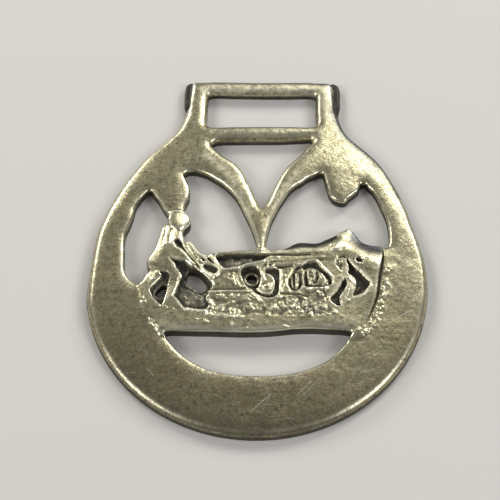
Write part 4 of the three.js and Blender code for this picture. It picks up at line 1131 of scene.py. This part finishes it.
# Ramps of the patina, the grime and the painted light and shade: where the value goes in from and to, and
# what comes out there.
ramps = dict(
    cloudTarnish=(0.3, 0.7, 0.0, 0.62), blotchTarnish=(0.38, 0.62, -0.24, 0.28),
    freed=(0.35, 0.65, 0.75, 0.35), mottle=(0.48, 0.62, 0.0, 0.75),
    darkSpecks=(0.52, 0.72, 0.0, 0.7), paleSpecks=(0.47, 0.30, 0.0, 0.5),
    darkFine=(0.50, 0.62, 0.0, 0.75), paleFine=(0.47, 0.36, 0.0, 0.6),
    pits=(0.30, 0.12), pitPatches=(0.44, 0.58, 0.0, 0.65), linePatches=(0.42, 0.60, 0.15, 1.0),
    polish=(0.18, 0.85), polishPatches=(0.30, 0.60, 0.45, 1.0), strokePatches=(0.42, 0.57, 1.0, 0.35),
    # sunk and low places get grime and painted shade, the darkest shade strokes painted shade near black, and
    # the walls painted shade
    shadePatches=(0.30, 0.66, 1.0, 0.62), sunkGrimeAndShade=(0.20, 0.62), lowGrimeAndShade=(-0.18, -0.70, 0.0, 0.9),
    dirtSpecks=(0.28, 0.62, 1.0, 0.78), paintedShadeBlack=(0.9, 1.2, 0.0, 0.92),
    wallPaintedShade=(0.15, 0.7), wallPatches=(0.3, 0.6, 1.0, 0.9),
    blotchRoughness=(0.3, 0.7, -0.05, 0.06), fineRoughness=(0.3, 0.7, -0.05, 0.05),
)


# Short names for the making of shader nodes. Every method but put gives a node or an output of one.
class Nodes:
    def __init__(self, name):
        self.material = bpy.data.materials.new(name)
        self.material.use_nodes = True
        self.tree = self.material.node_tree
        self.tree.nodes.clear()

    def put(self, node, key, value):
        if isinstance(value, bpy.types.NodeSocket):
            self.tree.links.new(value, node.inputs[key])
        elif isinstance(value, tuple) and node.inputs[key].type == "RGBA":
            node.inputs[key].default_value = (*value[:3], 1)
        else:
            node.inputs[key].default_value = value

    def add(self, kind, inputs=None, **settings):
        node = self.tree.nodes.new(kind)
        for key, value in settings.items():
            setattr(node, key, value)
        for key, value in (inputs or {}).items():
            self.put(node, key, value)
        return node

    def attribute(self, key):
        return self.add("ShaderNodeAttribute", attribute_name=key).outputs["Fac"]

    def math(self, how, a, b=0.0, clamp=False):
        return self.add("ShaderNodeMath", {0: a, 1: b}, operation=how, use_clamp=clamp).outputs[0]

    def plus(self, a, b, clamp=False):
        return self.math("ADD", a, b, clamp)

    def less(self, a, b, clamp=False):
        return self.math("SUBTRACT", a, b, clamp)

    def times(self, a, b, clamp=False):
        return self.math("MULTIPLY", a, b, clamp)

    def most(self, a, b, clamp=False):
        return self.math("MAXIMUM", a, b, clamp)

    def vector(self, how, a, b=(0, 0, 0), out="Vector"):
        return self.add("ShaderNodeVectorMath", {0: a, 1: b}, operation=how).outputs[out]

    def ramp(self, value, low, high, outLow=0.0, outHigh=1.0):
        return self.add("ShaderNodeMapRange", {0: value, 1: low, 2: high, 3: outLow, 4: outHigh}).outputs[0]

    def mix(self, share, a, b):
        return self.add("ShaderNodeMix", {0: share, 6: a, 7: b}, data_type="RGBA").outputs[2]

    def noise(self, where, scale, detail=3.0, roughness=0.55):
        inputs = {"Vector": where, "Scale": scale, "Detail": detail, "Roughness": roughness}
        return self.add("ShaderNodeTexNoise", inputs).outputs[0]

    # hairlines: noise pulled out along one direction, so that only its narrow crests are left
    def hairlines(self, where, angle, across, along, sharp, fade=0.07):
        inputs = {"Vector": where, "Rotation": (0, 0, math.radians(angle)), "Scale": (along, across, 1.0)}
        turned = self.add("ShaderNodeMapping", inputs).outputs[0]
        return self.ramp(self.noise(turned, 1.0, 2.0, 0.5), sharp, sharp + fade)

    # one scratch: one at the middle of the line between two points, nought beyond its half width
    def scratch(self, where, start, end, half, core=0.3):
        a = Vector((*start, 0)) * mm
        way = (Vector((*end, 0)) - Vector((*start, 0))) * mm
        part = self.vector("SUBTRACT", where, tuple(a))
        along = self.vector("DOT_PRODUCT", part, tuple(way), "Value")
        run = self.math("DIVIDE", along, way.length_squared, True)
        foot = self.add("ShaderNodeVectorMath", {0: tuple(way), "Scale": run}, operation="SCALE").outputs[0]
        gap = self.vector("LENGTH", self.vector("SUBTRACT", part, foot), (0, 0, 0), "Value")
        return self.ramp(gap, half * mm, half * mm * core)


# The tarnish comes in patches, and the tone darkens down and to the left. Colours are laid over each other by
# their shares:
# tarnish and specks first, then the painted bluish-grey reflection, painted highlights on the bright strokes,
# polish, patina with painted shade, and grime with painted shade last.
def makeBrass(b):
    n = Nodes("oldBrass")
    ramp = lambda value, key: n.ramp(value, *ramps[key])
    where = n.add("ShaderNodeTexCoord").outputs["Object"]
    flat = n.vector("MULTIPLY", where, (1, 1, 0))
    place = n.add("ShaderNodeSeparateXYZ", {0: where}).outputs
    # the hollow layer is patina and painted shade, the wall layer painted shade, the bright strokes' layer
    # polish and painted highlight, and the far layer a painted bluish-grey reflection
    rise, sunk, wall, clean, hollow, polishAndPaintedHighlight, far = (
        n.attribute(key) for key in ("rise", "sunk", "wall", "clean", "hollow", "polishAndPaintedHighlight", "far"))
    cloud, blotch, swell, mottle, speck, fine = (
        n.noise(where, *b[key]) for key in ("cloud", "blotch", "swell", "mottle", "speck", "fine"))
    pits = n.add("ShaderNodeTexVoronoi", {"Vector": where, "Scale": b["pitScale"]}).outputs["Distance"]
    # the tone darkens down and to the left, and tarnish comes in patches
    tarnish = n.plus(n.times(place[1], b["toneUp"]), n.times(place[0], b["toneRight"]))
    tarnish = n.plus(tarnish, ramp(cloud, "cloudTarnish"))
    tarnish = n.plus(tarnish, ramp(blotch, "blotchTarnish"), True)
    tarnish = n.less(tarnish, n.times(clean, b["fieldClean"]), True)
    # fine wear in three directions, then the single scratches
    first, second, third = (n.hairlines(flat, *row) for row in b["hairlines"])
    wornLines = n.times(n.plus(n.plus(first, second), third), ramp(cloud, "linePatches"), True)
    for start, end, half in b["scratches"]:
        wornLines = n.most(wornLines, n.scratch(flat, start, end, half))
    polished = n.times(ramp(rise, "polish"), ramp(blotch, "polishPatches"))
    polished = n.most(polished, n.times(wornLines, b["lineShare"]), True)
    # no polish where the bluish-grey reflection is painted
    polished = n.times(polished, n.less(1.0, far), True)
    # the bright strokes: painted highlights, kept bright also by handling
    strokedPolishAndHighlight = n.times(polishAndPaintedHighlight, ramp(speck, "strokePatches"), True)
    # patina in the hollows and painted shade along the shade strokes
    shade = n.times(hollow, ramp(blotch, "shadePatches"), True)
    # grime and painted shade lie in what is sunk, painted shade near black on the darkest shade strokes and
    # on the walls, and handling has cleared the bright strokes of it
    grimeAndPaintedShade = n.plus(ramp(sunk, "sunkGrimeAndShade"), ramp(rise, "lowGrimeAndShade"), True)
    grimeAndPaintedShade = n.most(n.times(grimeAndPaintedShade, ramp(speck, "dirtSpecks")), ramp(hollow, "paintedShadeBlack"))
    grimeAndPaintedShade = n.times(grimeAndPaintedShade, n.less(1.0, n.times(strokedPolishAndHighlight, b["strokeClears"])))
    grimeAndPaintedShade = n.most(grimeAndPaintedShade, n.times(ramp(wall, "wallPaintedShade"), ramp(blotch, "wallPatches")), True)
    color = b["pale"]
    for share, tone in (
            (tarnish, "olive"), (n.less(n.times(tarnish, b["brownGain"]), b["brownFrom"], True), "brown"),
            (n.times(clean, ramp(blotch, "freed")), "freed"), (ramp(mottle, "mottle"), "brown"),
            (ramp(speck, "darkSpecks"), "brown"), (ramp(speck, "paleSpecks"), "pale"),
            (ramp(fine, "darkFine"), "deep"), (ramp(fine, "paleFine"), "freed"),
            (n.times(ramp(pits, "pits"), ramp(blotch, "pitPatches")), "shade"),
            # the painted reflection, the painted highlights, polish, patina with painted shade, and grime
            # with painted shade
            (n.times(far, b["paintedReflectionMix"]), "paintedReflectionBlue"), (strokedPolishAndHighlight, "bright"), (polished, "bright"),
            (shade, "shade"), (grimeAndPaintedShade, "grimeAndShadeBlack")):
        color = n.mix(share, color, b[tone])
    rough = n.plus(n.plus(ramp(blotch, "blotchRoughness"), b["roughness"]), ramp(fine, "fineRoughness"))
    rough = n.less(rough, n.times(polished, b["roughness"] - b["brightRoughness"]))
    rough = n.plus(rough, n.times(strokedPolishAndHighlight, b["strokedRoughness"] - b["roughness"]))
    soiled = n.most(grimeAndPaintedShade, n.times(shade, b["shadeRoughness"]))
    rough = n.plus(rough, n.times(soiled, b["grimeRoughness"] - b["roughness"]), True)
    grains = dict(speck=speck, fine=fine, swell=swell, blotch=blotch)
    grain = n.times(speck, b["grain"]["speck"])
    for key in ("fine", "swell", "blotch"):
        grain = n.plus(grain, n.times(grains[key], b["grain"][key]))
    bump = n.add("ShaderNodeBump", {"Strength": b["bump"], "Distance": b["bumpDepth"], "Height": grain})
    # grime and painted shade take off some of the metal
    shader = n.add("ShaderNodeBsdfPrincipled", {
        "Base Color": color, "Roughness": rough, "Metallic": n.less(1.0, n.times(grimeAndPaintedShade, b["grimeAndShadeOnMetal"])),
        "Normal": bump.outputs[0]})
    n.add("ShaderNodeOutputMaterial", {"Surface": shader.outputs[0]})
    return n.material


casting.data.materials.append(makeBrass(brassLook))
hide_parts("pierced_brass")
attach(casting, "root")
print("brass finished")

# Floor, lights and surroundings.
studio = dict(
    floorSize=2.4, floorColor=(0.80, 0.79, 0.77), floorRoughness=0.8,
    # direction as degrees right of straight behind and degrees up, distance and size in metres
    lights=dict(
        shoulderLight=dict(aside=20.0, up=40.0, away=0.9, size=0.30, power=1.35, color=(1.0, 0.98, 0.92)),
        rightLamp=dict(aside=38.0, up=27.0, away=1.1, size=0.30, power=3.2, color=(1.0, 0.97, 0.89)),
        leftLamp=dict(aside=-40.0, up=26.0, away=1.1, size=0.30, power=3.4, color=(1.0, 0.97, 0.89)),
        leftSide=dict(aside=-112.0, up=34.0, away=1.2, size=0.45, power=4.2, color=(1.0, 0.98, 0.94)),
        rightSide=dict(aside=112.0, up=36.0, away=1.2, size=0.45, power=3.6, color=(0.97, 0.985, 1.0)),
    ),
    worldColor=(0.66, 0.66, 0.65), worldStrength=0.27,
)


# The floor is one pale square under the brass.
def makeFloor(s):
    half = s["floorSize"] / 2
    mesh = bpy.data.meshes.new("floor")
    corners = [(-half, -half, 0), (half, -half, 0), (half, half, 0), (-half, half, 0)]
    mesh.from_pydata(corners, [], [(0, 1, 2, 3)])
    floor = bpy.data.objects.new("floor", mesh)
    bpy.context.scene.collection.objects.link(floor)
    n = Nodes("paleFloor")
    inputs = {"Base Color": (*s["floorColor"], 1), "Roughness": s["floorRoughness"]}
    shader = n.add("ShaderNodeBsdfPrincipled", inputs)
    n.add("ShaderNodeOutputMaterial", {"Surface": shader.outputs[0]})
    mesh.materials.append(n.material)


# A lamp looks at the middle from a direction, the sines and cosines of its two angles, at its distance.
def makeLight(name, light):
    aside, up = math.radians(light["aside"]), math.radians(light["up"])
    level = math.cos(up)
    place = Vector((math.sin(aside) * level, math.cos(aside) * level, math.sin(up))) * light["away"]
    data = bpy.data.lights.new(name, "AREA")
    data.size = light["size"]
    data.energy = light["power"]
    data.color = light["color"]
    lamp = bpy.data.objects.new(name, data)
    lamp.location = place
    lamp.rotation_euler = (-place).to_track_quat("-Z", "Y").to_euler()
    bpy.context.scene.collection.objects.link(lamp)


# An even, pale air all round, and plain colours in the picture.
def makeWorld(s):
    world = bpy.data.worlds.new("studioAir")
    world.use_nodes = True
    back = world.node_tree.nodes["Background"]
    back.inputs[0].default_value = (*s["worldColor"], 1)
    back.inputs[1].default_value = s["worldStrength"]
    bpy.context.scene.world = world
    bpy.context.scene.view_settings.view_transform = "Standard"


makeFloor(studio)
for name, light in studio["lights"].items():
    makeLight(name, light)
makeWorld(studio)
print("studio set")
